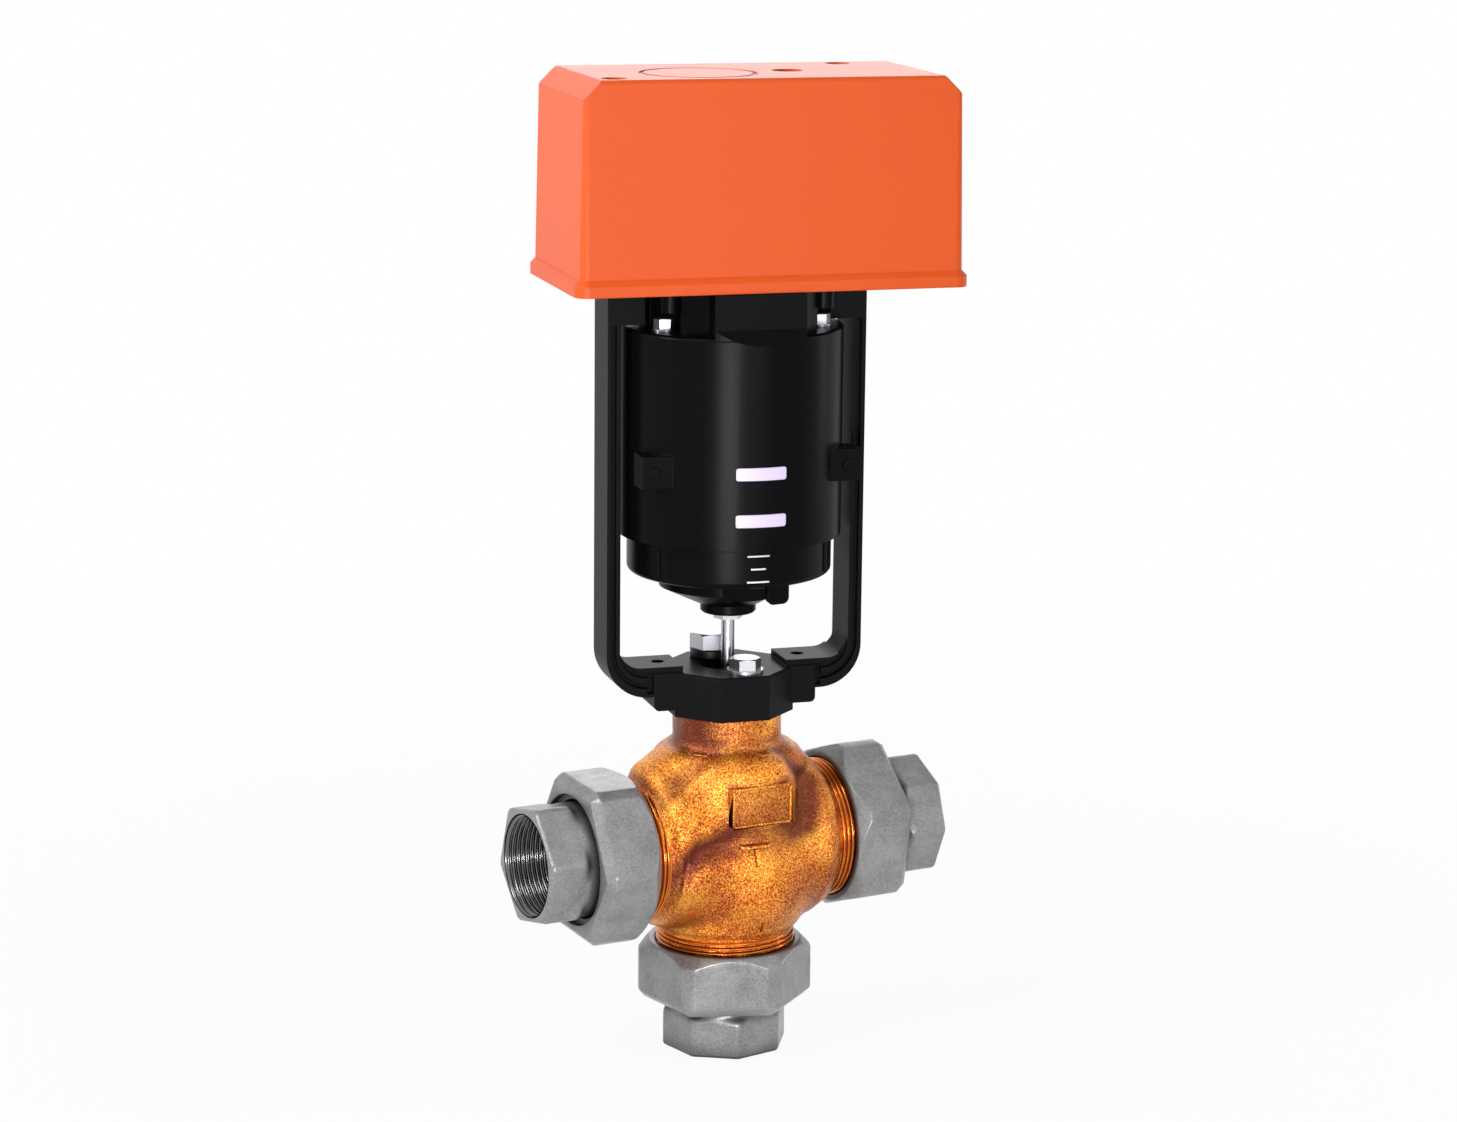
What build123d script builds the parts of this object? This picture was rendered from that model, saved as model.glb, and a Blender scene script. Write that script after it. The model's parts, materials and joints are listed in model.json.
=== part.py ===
from build123d import *
import math
import os

# Motorised three-way valve, DN 40, millimetres.
# Origin: centre of the bottom port's end face. +Z runs up the stem, +X along the straight run.
# The actuator has its own axes, u across its two legs and v towards its back. They are the
# valve's X and Y turned about the stem by head_turn.

# Running and seating clearances
running_gap = 0.08
seat_gap = 0.15
free_gap = 0.3

# Union fittings, each measured from its own end face towards the valve
port_height = 100.0
run_half_length = 104.0
tail_flats = 55.4
tail_flat_length = 18.6
tail_neck_r = 27.0
tail_flange_r = 31.0
tail_flange_start = 31.0
tail_flange_thick = 6.0
tail_thread_r = 22.42
tail_thread_depth = 24.0
tail_bore_r = 20.0
tail_edge_bevel = 1.2
tail_shoulder_drop = 1.5
tail_shoulder_rise = 2.5
tail_flange_bevel = 0.8
gasket_thick = 2.0
nut_flats = 74.0
nut_corner_r = 41.0
nut_start = 23.0
nut_length = 29.0
nut_outer_bevel = 2.8
nut_inner_chamfer = 5.0
nut_recess_r = 30.6
nut_recess_depth = 3.0
bottom_nut_turn = -112.6
bottom_tail_turn = -126.2
run_nut_turn = 22.0
run_tail_turn = 20.0

# Valve body
thread_r = 32.85
thread_length = 20.5
thread_end_bevel = 1.2
left_bulge_r = 37.6
right_bulge_r = 39.2
bulge_run = 8.5
waist_r = 36.6
left_lobe_r = 33.0
left_lobe_x = -25.0
left_lobe_z = 113.0
left_lobe_overrun = 2.0
lower_lobe_r = 39.0
lower_lobe_x = 4.0
lower_lobe_z = 86.0
chamber_r = 38.2
chamber_bottom = 84.0
chamber_shoulder_z = 134.5
chamber_shoulder_rise = 12.0
body_wall = 5.0
neck_r = 25.5
neck_root_rise = 3.5
neck_top = 164.0
spigot_r = 12.0
spigot_height = 12.0
name_pad_width = 30.6
name_pad_height = 18.6
name_pad_x = -2.7
name_pad_z = 126.0
name_pad_rise = 1.4
name_pad_root = 15.0
name_pad_rim = 1.2

# Seats, plug and stem
seat_r = 19.5
seat_ring_r = 22.5
seat_depth = 8.0
seat_spacing = 26.0
seat_middle_z = 99.0
stroke = 14.0
skirt_wall = 2.2
skirt_reach = 3.0
skirt_port_count = 4
skirt_port_r = 7.5
disc_overhang = 2.0
disc_bevel = 1.0
seat_edge_bevel = 0.8
stem_r = 3.2
stem_guide_r = 7.0
stem_guide_length = 8.0
packing_r = 7.0
packing_length = 17.0
gland_thread_r = 9.5
gland_rim_r = 10.6
gland_rim_height = 5.0
gland_floor = 4.0
gland_dish_width = 2.4
gland_dish_depth = 2.5
gland_slot_width = 2.4
gland_slot_depth = 1.8
gland_slot_turn = 30.0

# Yoke
head_turn = -11.4
hub_round_r = 31.0
hub_height = 21.0
leg_clearance = 3.4
leg_thick = 6.3
leg_depth = 24.0
arm_bottom = 174.0
arm_top = 188.0
outer_bend_r = 20.0
inner_bend_r = 10.0
channel_rim = 2.0
channel_depth = 3.0
channel_start = 39.5
arm_rim = 4.0
arm_groove = 2.2
arm_rib = 3.2
arm_groove_depth = 2.2
pocket_width = 6.0
pocket_low = 5.5
pocket_depth = 7.0
foot_inner = 25.0
foot_outer = 39.0
foot_bottom = 167.5
foot_proud = 1.4
foot_corner_r = 2.5
arm_dimple_u = 34.0
arm_dimple_r = 3.0
arm_dimple_depth = 4.0
hub_edge_bevel = 0.8
bracket_width = 17.5
bracket_height = 18.5
yoke_screw_r = 2.0
yoke_screw_depth = 11.0
yoke_screw_head_r = 4.0
yoke_screw_head_height = 2.6
yoke_screw_spread = 6.0

# Yoke bolts
bolt_radius = 17.4
bolt_shank_r = 4.0
bolt_depth = 13.0
front_bolt_flats = 13.0
front_head_height = 5.3
front_washer_r = 8.5
front_washer_thick = 1.5
rear_bolt_flats = 17.0
rear_head_height = 7.5
rear_spacer_r = 9.6
rear_spacer_height = 4.5

# Drive housing
housing_r = 51.8
housing_wall = 3.2
housing_bottom = 249.0
shoulder_z = 346.0
deck_thick = 3.0
tower_step = 8.4
drum_edge_round = 1.5
facet_cut = 4.6
facet_bottom = 349.4
facet_runout = 342.6
chassis_bottom = 366.5
bearing_plate_z = 306.0
plate_post_r = 4.5
lug_width = 15.5
lug_inset = 0.3
lug_setback = 15.8
lug_depth = 14.0
lug_bottom = 276.7
lug_top = 291.5
lug_screw_r = 3.0
lug_screw_inset = 5.8
lug_screw_head = 0.9
lug_screw_shank_r = 1.5
lug_screw_length = 8.0
window_width = 24.0
window_height = 6.2
window_upper_z = 284.5
window_lower_z = 263.0
window_thick = 2.6
window_corner_r = 1.3
window_sink = 0.25
window_reach = 10.0

# Lower cap and spindle guide
cap_step = 4.3
cap_height = 18.5
cap_wall = 3.0
cap_edge_round = 3.0
cap_spigot = 8.0
cap_rib_angle = 35.0
cap_rib_spread = 3.6
cap_rib_width = 1.3
cap_rib_rise = 0.9
tab_width = 11.0
tab_drop = 8.0
tab_thick = 4.0
tab_sink = 1.6
tab_corner_r = 3.0
tab_u = 10.6
guide_r = 32.5
guide_straight = 7.0
guide_foot_r = 15.0
guide_drop = 15.2
guide_cut_u = 14.0
guide_cut_slant = 14.0
guide_facet_out = 24.5
guide_facet_turn = 20.0
guide_boss_height = 11.0
nose_r = 13.0
nose_drop = 4.8
nose_edge_bevel = 0.8
nose_pocket_r = 7.6
nose_pocket_depth = 3.3

# Spindle drive
spindle_r = 6.0
spindle_top = 334.0
keyway_width = 2.4
keyway_depth = 1.2
keyway_end_drop = 24.0
spindle_edge_bevel = 0.6
coupling_flats = 12.0
coupling_height = 6.2
stem_thread_length = 7.5
gear_module = 1.0
wheel_teeth = 54
idler_pinion_teeth = 16
idler_wheel_teeth = 30
motor_teeth = 12
crank_teeth = 16
tooth_backlash = 0.34
tooth_root_share = 1.25
tooth_tip_share = 0.9
pressure_angle = 20.0
bearing_plate_thick = 4.0
bearing_r = 16.0
bearing_height = 8.0
bearing_bore_r = 9.0
bearing_seat_wall = 3.0
bearing_seat_depth = 2.0
idler_seat_wall = 3.5
gear_collar_r = 12.5
wheel_width = 10.0
wheel_z = 324.0
upper_gear_z = 374.0
upper_gear_width = 7.0
idler_shaft_r = 3.0
crank_u = 24.6
crank_v = -2.4
crank_shaft_r = 4.0
crank_recess = 5.0
crank_socket_r = 5.4
crank_socket_flats = 6.0
crank_socket_length = 14.0
crank_socket_depth = 9.0
motor_direction = 20.0
motor_r = 20.0
motor_height_share = 0.56
motor_boss_rise = 2.0
motor_shaft_r = 2.0
motor_edge_round = 2.0
motor_ear_reach = 5.0
motor_ear_thick = 1.2
bridge_thick = 3.0
bridge_gap = 7.0
bridge_post_r = 3.0
bridge_margin = 4.0
bridge_clearance = 6.0

# Chassis, electrics and cover
chassis_thick = 4.5
chassis_boss_r = 4.9
chassis_boss_drop = 11.0
chassis_boss_u = 36.3
chassis_boss_v = 25.3
chassis_boss_hole_r = 1.8
housing_screw_u = 36.9
housing_screw_v = 18.0
housing_screw_flats = 8.5
housing_screw_head = 4.6
housing_screw_turn = 20.0
housing_washer_r = 5.2
housing_washer_thick = 1.1
housing_screw_shank_r = 2.0
housing_screw_length = 14.0
screw_pocket_r = 7.5
cover_left = -84.7
cover_right = 99.2
cover_half_depth = 46.6
cover_bottom = 365.7
cover_top = 461.0
cover_lip_height = 7.2
cover_lip_rise = 2.2
cover_draft = 1.15
cover_wall = 2.5
cover_corner_r = 6.0
cover_end_bevel = 8.2
cover_inner_round = 1.0
cover_lip_slope = 44.0
cover_top_round = 2.0
crank_hole_r = 7.0
crank_hole_depth = 6.0
mark_r = 27.0
mark_u = -19.0
mark_v = -8.0
mark_width = 2.2
mark_depth = 0.7
cover_screw_places = [(-64.3, -31.7), (59.8, 32.0)]
cover_screw_well_r = 5.75
cover_screw_well_depth = 3.2
cover_screw_head_r = 4.8
cover_screw_head_height = 2.6
cover_screw_shank_r = 2.0
cover_post_r = 5.0
cover_screw_length = 19.0
cover_screw_slot_half = 0.6
cover_screw_slot_depth = 1.2
cover_well_floor = 5.0
cover_well_wall = 1.6
board_left = -76.0
board_right = -6.0
board_front = -22.0
board_back = 38.0
board_thick = 1.6
board_lift = 10.0
board_inset = 5.0
board_pillar_r = 3.0
terminal_length = 48.0
terminal_depth = 12.0
terminal_height = 12.0
terminal_count = 6
terminal_inset = 3.0
terminal_back_gap = 6.0
terminal_screw_r = 2.0
terminal_screw_floor = 5.0
terminal_mouth_half = 2.2
terminal_mouth_low = 2.0
terminal_mouth_high = 6.0
gland_u = 80.0
gland_v = -22.0
gland_r = 7.0
gland_wall = 2.0
gland_nut_height = 4.0
gland_tail = 6.0
gland_bottom = 363.0

# Heights and radii that follow from the sizes above
leg_inner = housing_r + leg_clearance
leg_outer = leg_inner + leg_thick
bracket_inner = leg_outer - bracket_width
tower_r = housing_r - tower_step
facet_distance = housing_r - facet_cut
lug_outer = housing_r - lug_inset
lug_inner = lug_outer - lug_width
lug_front = housing_r - lug_setback
lug_screw_u = housing_r - lug_screw_inset
cap_r = housing_r - cap_step
thread_end_x = run_half_length - (tail_flange_start + tail_flange_thick + gasket_thick)
union_reach = tail_flange_start + tail_flange_thick + gasket_thick
nut_end = nut_start + nut_length
lower_seat_top = seat_middle_z - seat_spacing / 2
upper_seat_bottom = seat_middle_z + seat_spacing / 2
upper_seat_top = upper_seat_bottom + seat_depth
disc_height = seat_spacing - stroke - 2 * free_gap
disc_top = upper_seat_bottom - free_gap
spigot_top = neck_top + spigot_height
hub_top = neck_top + hub_height
cap_bottom = housing_bottom - cap_height
guide_bottom = cap_bottom - guide_drop
nose_bottom = guide_bottom - nose_drop
coupling_top = nose_bottom + nose_pocket_depth - free_gap
coupling_bottom = coupling_top - coupling_height
packing_bottom = spigot_top - gland_rim_height - gland_floor - packing_length
stem_guide_top = packing_bottom
chassis_top = chassis_bottom + chassis_thick
bridge_z = upper_gear_z + upper_gear_width + bridge_gap
crank_top = cover_top - crank_recess
motor_room = cover_top - cover_wall - bridge_z - bridge_thick
motor_height = motor_height_share * motor_room
cover_post_top = cover_top - cover_wall - cover_well_floor - free_gap
bearing_plate_top = bearing_plate_z + bearing_plate_thick
lower_bearing_z = bearing_plate_top - bearing_seat_depth
upper_bearing_z = shoulder_z - deck_thick
board_z = chassis_top + board_lift
chamber_neck_z = chamber_shoulder_z + chamber_shoulder_rise + neck_root_rise

# Gear centres in the actuator's axes
idler_radius = gear_module * (wheel_teeth + idler_pinion_teeth) / 2
crank_radius = math.hypot(crank_u, crank_v)
idler_to_crank = gear_module * (idler_wheel_teeth + crank_teeth) / 2
idler_to_motor = gear_module * (idler_wheel_teeth + motor_teeth) / 2
idler_swing = math.acos((idler_radius ** 2 + crank_radius ** 2 - idler_to_crank ** 2)
                        / (2 * idler_radius * crank_radius))
idler_angle = math.atan2(crank_v, crank_u) - idler_swing
idler_u = idler_radius * math.cos(idler_angle)
idler_v = idler_radius * math.sin(idler_angle)
motor_u = idler_u + idler_to_motor * math.cos(math.radians(motor_direction))
motor_v = idler_v + idler_to_motor * math.sin(math.radians(motor_direction))


def rod(radius, low, high, x=0.0, y=0.0):
    """Upright cylinder between two heights."""
    return Pos(x, y, (low + high) / 2) * Cylinder(radius, high - low)


def ring(outer, inner, low, high, x=0.0, y=0.0):
    """Upright tube between two heights."""
    return rod(outer, low, high, x, y) - rod(inner, low - 1, high + 1, x, y)


def block(x0, x1, y0, y1, z0, z1):
    """Box between opposite corners."""
    return Pos((x0 + x1) / 2, (y0 + y1) / 2, (z0 + z1) / 2) * Box(x1 - x0, y1 - y0, z1 - z0)


def outer_rims(shape):
    """The two outer rims of a tube."""
    return shape.edges().filter_by(GeomType.CIRCLE).sort_by(SortBy.RADIUS)[-2:]


def prism(sides, flats, low, high, turn=0.0):
    """Upright prism with a given width across its flats. A flat faces the turn angle."""
    circum = flats / 2 / math.cos(math.pi / sides)
    outline = RegularPolygon(circum, sides, rotation=turn + 180 / sides)
    return Pos(0, 0, low) * extrude(outline, high - low)


def turned(points):
    """Solid turned about Z from a closed outline of (radius, height) points."""
    outline = make_face(Polyline([(r, 0, z) for r, z in points], close=True))
    return revolve(outline, Axis.Z)


def on_actuator(shape):
    """Swing a shape from the actuator's axes into the valve's."""
    return Rot(0, 0, head_turn) * shape


def on_left_port(shape):
    """Lay a union piece on the left end of the run."""
    return Pos(-run_half_length, 0, port_height) * Rot(0, 90, 0) * shape


def on_right_port(shape):
    """Lay a union piece on the right end of the run."""
    return Pos(run_half_length, 0, port_height) * Rot(0, -90, 0) * shape


def tailpiece(turn):
    """Pipe end with an octagon for the wrench, a round neck and a sealing flange."""
    half = tail_flats / 2
    flange_end = tail_flange_start + tail_flange_thick
    octagon = prism(8, tail_flats, 0, tail_flat_length, turn)
    corner = half / math.cos(math.pi / 8)
    trim = turned([(0, 0), (half - tail_edge_bevel / 2, 0), (corner, corner - half + tail_edge_bevel),
                   (corner, tail_flat_length - tail_shoulder_drop),
                   (tail_neck_r, tail_flat_length + tail_shoulder_rise),
                   (0, tail_flat_length + tail_shoulder_rise)])
    octagon = octagon & trim
    neck = rod(tail_neck_r, tail_flat_length - tail_shoulder_drop, tail_flange_start + 1)
    flange = chamfer(rod(tail_flange_r, tail_flange_start, flange_end).edges(), tail_flange_bevel)
    bore = rod(tail_bore_r, -1, flange_end + 1)
    thread = rod(tail_thread_r, -1, tail_thread_depth)
    return octagon + neck + flange - bore - thread


def union_nut(turn):
    """Hexagon union nut, hooked over the tailpiece's flange and screwed to the valve."""
    bevel_top = nut_start + nut_outer_bevel
    circum = nut_flats / 2 / math.cos(math.pi / 6)
    outline = RegularPolygon(circum, 6, rotation=turn + 30)
    slope = extrude(Pos(0, 0, bevel_top) * outline, nut_outer_bevel, dir=(0, 0, -1), taper=45)
    body = prism(6, nut_flats, bevel_top, nut_end, turn) + slope
    trim = turned([(0, nut_start), (nut_corner_r, nut_start), (nut_corner_r, nut_end - nut_inner_chamfer),
                   (nut_corner_r - nut_inner_chamfer, nut_end), (0, nut_end)])
    recess = rod(nut_recess_r, nut_start - 1, nut_start + nut_recess_depth)
    hole = rod(tail_neck_r + 2 * free_gap, nut_start - 1, nut_end)
    cavity = rod(thread_r + seat_gap, tail_flange_start - free_gap, nut_end + 1)
    return (body & trim) - recess - hole - cavity


def gasket():
    """Flat ring pressed between tailpiece and valve."""
    face = tail_flange_start + tail_flange_thick
    return ring(tail_flange_r - 0.5, tail_bore_r + 1, face, face + gasket_thick)


def run_barrel():
    """Straight run, turned about X, with a bulge beside each threaded end."""
    start = thread_end_x - thread_length
    crest = start - bulge_run
    edge = Spline([(-start, 0, thread_r), (-crest, 0, left_bulge_r), (0, 0, waist_r),
                   (crest, 0, right_bulge_r), (start, 0, thread_r)])
    bevel_x = thread_end_x - thread_end_bevel
    bevel_r = thread_r - thread_end_bevel
    ends = Polyline([(start, 0, thread_r), (bevel_x, 0, thread_r), (thread_end_x, 0, bevel_r),
                     (thread_end_x, 0, 0), (-thread_end_x, 0, 0), (-thread_end_x, 0, bevel_r),
                     (-bevel_x, 0, thread_r), (-start, 0, thread_r)])
    return Pos(0, 0, port_height) * revolve(make_face(edge + ends), Axis.X)


def chamber():
    """Drum in the middle of the body, with a round shoulder that runs up into the neck."""
    shoulder = Spline([(chamber_r, 0, chamber_shoulder_z),
                       ((chamber_r + neck_r) / 2 + 2, 0, chamber_shoulder_z + chamber_shoulder_rise * 0.8),
                       (neck_r, 0, chamber_neck_z)], tangents=[(0, 0, 1), (0, 0, 1)])
    rest = Polyline([(neck_r, 0, chamber_neck_z), (neck_r, 0, neck_top), (spigot_r, 0, neck_top),
                     (spigot_r, 0, spigot_top), (0, 0, spigot_top), (0, 0, chamber_bottom),
                     (chamber_r, 0, chamber_bottom), (chamber_r, 0, chamber_shoulder_z)])
    return revolve(make_face(shoulder + rest), Axis.Z)


def left_lobe():
    """Round lobe over the inlet, cut square where the port's thread begins."""
    lobe = Pos(left_lobe_x, 0, left_lobe_z) * Sphere(left_lobe_r)
    end = thread_length - thread_end_x - left_lobe_overrun
    return lobe - block(end - left_lobe_r, end, -left_lobe_r, left_lobe_r,
                        left_lobe_z - left_lobe_r, left_lobe_z + left_lobe_r)


def name_pad():
    """Raised plain pad with a rim, cast on the front of the body."""
    front = -(chamber_r + name_pad_rise)
    pad = block(-name_pad_width / 2, name_pad_width / 2, front, -name_pad_root,
                -name_pad_height / 2, name_pad_height / 2)
    field = block(-name_pad_width / 2 + name_pad_rim, name_pad_width / 2 - name_pad_rim,
                  front - 1, front + name_pad_rise / 2,
                  -name_pad_height / 2 + name_pad_rim, name_pad_height / 2 - name_pad_rim)
    return Pos(name_pad_x, 0, name_pad_z) * (pad - field)


def body_outside():
    """Outer form: run, drop to the bottom port, drum with neck, and the partition's two lobes."""
    lower = Pos(lower_lobe_x, -1, lower_lobe_z) * Sphere(lower_lobe_r)
    drop = rod(thread_r, union_reach, lower_lobe_z)
    drop = chamfer(drop.edges().sort_by(Axis.Z)[0], thread_end_bevel)
    return run_barrel() + left_lobe() + lower + drop + chamber()


def body_rooms():
    """Inner rooms: left port to the upper room, right port to the middle, bottom port below."""
    bore = tail_bore_r
    wall_r = seat_ring_r + 3.5
    room_r = seat_ring_r + 0.5
    left = Pos(-thread_end_x / 2, 0, port_height) * Rot(0, 90, 0) * Cylinder(bore, thread_end_x + 2)
    upper = Pos(left_lobe_x / 2, 0, left_lobe_z) * Sphere(left_lobe_r - body_wall)
    skirt_room = rod(seat_ring_r - 1.5, upper_seat_bottom, disc_top + stroke + skirt_reach + 1.5)
    upper_room = left + upper + skirt_room - rod(wall_r, 0, upper_seat_top)
    right = Pos(thread_end_x / 2 + 1, 0, port_height) * Rot(0, 90, 0) * Cylinder(bore, thread_end_x)
    shelves = rod(wall_r, 0, lower_seat_top) + rod(wall_r, upper_seat_bottom, neck_top)
    middle_room = rod(room_r, lower_seat_top, upper_seat_bottom) + (right - shelves)
    bottom_room = rod(room_r, 0, lower_seat_top - seat_depth)
    seats = rod(seat_r, upper_seat_bottom - 1, upper_seat_top + 1)
    seats += rod(seat_ring_r, lower_seat_top - seat_depth - 1, lower_seat_top + 1)
    return upper_room + middle_room + bottom_room + seats


def bolt_holes(radius, low, high):
    """The two yoke bolts' holes, front and rear."""
    return rod(radius, low, high, 0, -bolt_radius) + rod(radius, low, high, 0, bolt_radius)


def valve_body():
    """Sand-cast gunmetal body with machined port ends and neck."""
    outside = body_outside() + name_pad()
    guide = rod(stem_guide_r, stem_guide_top - stem_guide_length, packing_bottom)
    passage = rod(stem_guide_r - 1, upper_seat_top, packing_bottom)
    packing = rod(packing_r, packing_bottom, spigot_top + 1)
    gland = rod(gland_thread_r, packing_bottom + packing_length, spigot_top + 1)
    holes = bolt_holes(bolt_shank_r + running_gap, neck_top - bolt_depth - 1, neck_top + 1)
    return outside - body_rooms() - guide - passage - packing - gland - holes


def lower_seat():
    """Screwed seat ring with a bevelled seat edge."""
    low = lower_seat_top - seat_depth
    seat = ring(seat_ring_r, seat_r, low, lower_seat_top)
    bore_edge = seat.edges().filter_by(GeomType.CIRCLE).group_by(Axis.Z)[-1].sort_by(SortBy.RADIUS)[0]
    return chamfer(bore_edge, seat_edge_bevel)


def valve_plug():
    """Double plug: a disc between two ported skirts that slide in the seats."""
    disc_bottom = disc_top - disc_height
    skirt_r = seat_r - free_gap
    upper_tip = disc_top + stroke + skirt_reach
    lower_tip = disc_bottom - stroke - skirt_reach
    disc = rod(seat_r + disc_overhang, disc_bottom, disc_top)
    disc = chamfer(disc.edges(), disc_bevel)
    skirts = ring(skirt_r, skirt_r - skirt_wall, lower_tip, upper_tip)
    plug = disc + skirts
    for index in range(skirt_port_count):
        turn = Rot(0, 0, 360 / skirt_port_count * index + 45)
        cutter = Rot(0, 90, 0) * Cylinder(skirt_port_r, 2 * skirt_port_r)
        upper_port = Pos(seat_r, 0, upper_tip) * cutter
        lower_port = Pos(seat_r, 0, lower_tip) * cutter
        plug -= turn * upper_port
        plug -= turn * lower_port
    return plug - rod(stem_r + running_gap, disc_bottom - 1, disc_top + 1)


def valve_stem():
    """Polished stem from the plug through the packing to the coupling."""
    low = disc_top - disc_height
    high = coupling_top + stem_thread_length
    stem = rod(stem_r, low, high)
    return chamfer(stem.edges(), 0.4)


def stem_guide():
    """Guide bush pressed in at the root of the neck."""
    return ring(stem_guide_r, stem_r + running_gap, stem_guide_top - stem_guide_length, stem_guide_top)


def stem_packing():
    """Stack of three packing rings."""
    step = packing_length / 3
    rings = []
    for index in range(3):
        low = packing_bottom + index * step
        rings.append(ring(packing_r, stem_r + running_gap, low, low + step - 0.2))
    return Compound(rings)


def packing_gland():
    """Brass gland screwed into the spigot, with a slotted rim."""
    low = packing_bottom + packing_length
    gland = rod(gland_thread_r - running_gap, low, spigot_top)
    gland += rod(gland_rim_r, spigot_top, spigot_top + gland_rim_height)
    gland -= rod(stem_r + running_gap, low - 1, spigot_top + gland_rim_height + 1)
    rim_top = spigot_top + gland_rim_height
    gland -= rod(stem_r + gland_dish_width, rim_top - gland_dish_depth, rim_top + 1)
    for turn in (0, 90):
        slot = block(-gland_rim_r - 1, gland_rim_r + 1, -gland_slot_width / 2, gland_slot_width / 2,
                     rim_top - gland_slot_depth, rim_top + 1)
        gland -= Rot(0, 0, turn + gland_slot_turn) * slot
    return gland


def yoke_outline(outer, low, bend):
    """U-shaped outline with rounded lower corners, open room for the legs above."""
    height = chassis_bottom - low
    shape = Pos(0, low + height / 2) * Rectangle(2 * outer, height)
    return fillet(shape.vertices().group_by(Axis.Y)[0], bend)


def yoke_band(outer, low, bend, inner, high, inner_bend, depth):
    """Band between two U outlines, extruded to both sides of the yoke's middle plane."""
    band = yoke_outline(outer, low, bend) - yoke_outline(inner, high, inner_bend)
    return extrude(Plane.XZ * band, depth, both=True)


def yoke_frame():
    """U-shaped frame of arms and legs. Grooves on its front and back leave curved ribs."""
    half = leg_depth / 2
    frame = yoke_band(leg_outer, arm_bottom, outer_bend_r, leg_inner, arm_top, inner_bend_r, half)
    groove_outer = leg_outer - channel_rim
    groove_inner = leg_inner + channel_rim
    groove_low = arm_bottom + arm_rim
    groove_high = groove_low + arm_groove
    outer = yoke_band(groove_outer, groove_low, outer_bend_r - channel_rim,
                      groove_inner, groove_high, outer_bend_r - channel_rim - arm_groove, half + 1)
    outer -= block(-leg_outer, leg_outer, channel_depth - half, half - channel_depth, arm_bottom,
                   chassis_bottom)
    rib_low = groove_high + arm_rib
    inner = yoke_band(leg_inner, rib_low, inner_bend_r + arm_groove,
                      leg_inner - arm_groove, rib_low + arm_groove, inner_bend_r, half + 1)
    inner -= block(-leg_outer, leg_outer, arm_groove_depth - half, half - arm_groove_depth, arm_bottom,
                   chassis_bottom)
    grooves = outer + inner
    grooves -= block(-channel_start, channel_start, -leg_depth, leg_depth, arm_bottom, arm_top)
    grooves -= block(-leg_outer, leg_outer, -leg_depth, leg_depth, chassis_bottom - bracket_height,
                     chassis_bottom)
    return frame - grooves


def arm_foot():
    """Block between hub and arm that stands proud of the arm and reaches below it."""
    half = leg_depth / 2 + foot_proud
    foot = block(foot_inner, foot_outer, -half, half, foot_bottom, arm_top - pocket_low / 2)
    lower = foot.edges().filter_by(Axis.Y).group_by(Axis.Z)[0].sort_by(Axis.X)[-1]
    return fillet(lower, foot_corner_r)


def yoke():
    """Black cast yoke: octagonal hub, arms, legs, feet under the arms and top brackets."""
    hub_flats = 2 * hub_round_r * math.cos(math.pi / 8)
    hub = prism(8, hub_flats, neck_top, hub_top)
    hub = chamfer(hub.edges().group_by(Axis.Z)[-1], hub_edge_bevel)
    body = yoke_frame() + hub
    half = leg_depth / 2
    reach = half + foot_proud + 1
    for side in (-1, 1):
        bracket = block(bracket_inner, leg_outer, -half, half,
                        chassis_bottom - bracket_height, chassis_bottom)
        turn = Rot(0, 0, 0 if side > 0 else 180)
        body += turn * arm_foot()
        body += turn * bracket
        body -= turn * rod(arm_dimple_r, hub_top - arm_dimple_depth, arm_top + 1, arm_dimple_u, 0)
        for front in (-1, 1):
            near = half - channel_depth
            far = reach + 1
            pocket = block(foot_outer, foot_outer + pocket_width / 2, min(front * near, front * far),
                           max(front * near, front * far), arm_top - pocket_low - pocket_depth,
                           arm_top - pocket_low / 2)
            body -= turn * pocket
    body -= block(-foot_inner, foot_inner, -reach, reach, hub_top, arm_top + 1)
    body -= rod(gland_rim_r + 2.0, neck_top - 1, hub_top + 1)
    for place in yoke_screw_places():
        body -= rod(yoke_screw_r + running_gap, chassis_bottom - yoke_screw_depth - 1,
                    chassis_bottom + 1, *place)
    body = on_actuator(body)
    return body - bolt_holes(bolt_shank_r + free_gap, neck_top - 1, hub_top + 1)


def yoke_screw_places():
    """Screws that hold the two top brackets under the chassis."""
    across = (bracket_inner + leg_outer) / 2
    return [(side * across, back * yoke_screw_spread) for side in (-1, 1) for back in (-1, 1)]


def yoke_screws():
    """Four pan-head screws, put in from above through the chassis."""
    screws = []
    for u, v in yoke_screw_places():
        screw = rod(yoke_screw_r, chassis_bottom - yoke_screw_depth, chassis_top, u, v)
        screw += rod(yoke_screw_head_r, chassis_top, chassis_top + yoke_screw_head_height, u, v)
        screws.append(on_actuator(screw))
    return Compound(screws)


def hex_head(flats, low, high):
    """Hexagon head with its upper corners turned off."""
    half = flats / 2
    corner = half / math.cos(math.pi / 6)
    trim = turned([(0, low), (corner, low), (corner, high - (corner - half) * 0.6),
                   (half * 0.97, high), (0, high)])
    return prism(6, flats, low, high, 12) & trim


def front_bolt():
    """Hexagon bolt with its washer, front of the hub."""
    seat = hub_top + front_washer_thick
    bolt = hex_head(front_bolt_flats, seat, seat + front_head_height)
    bolt += rod(bolt_shank_r, neck_top - bolt_depth, seat)
    washer = ring(front_washer_r, bolt_shank_r, hub_top, seat)
    return Pos(0, -bolt_radius, 0) * (bolt + washer)


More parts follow.
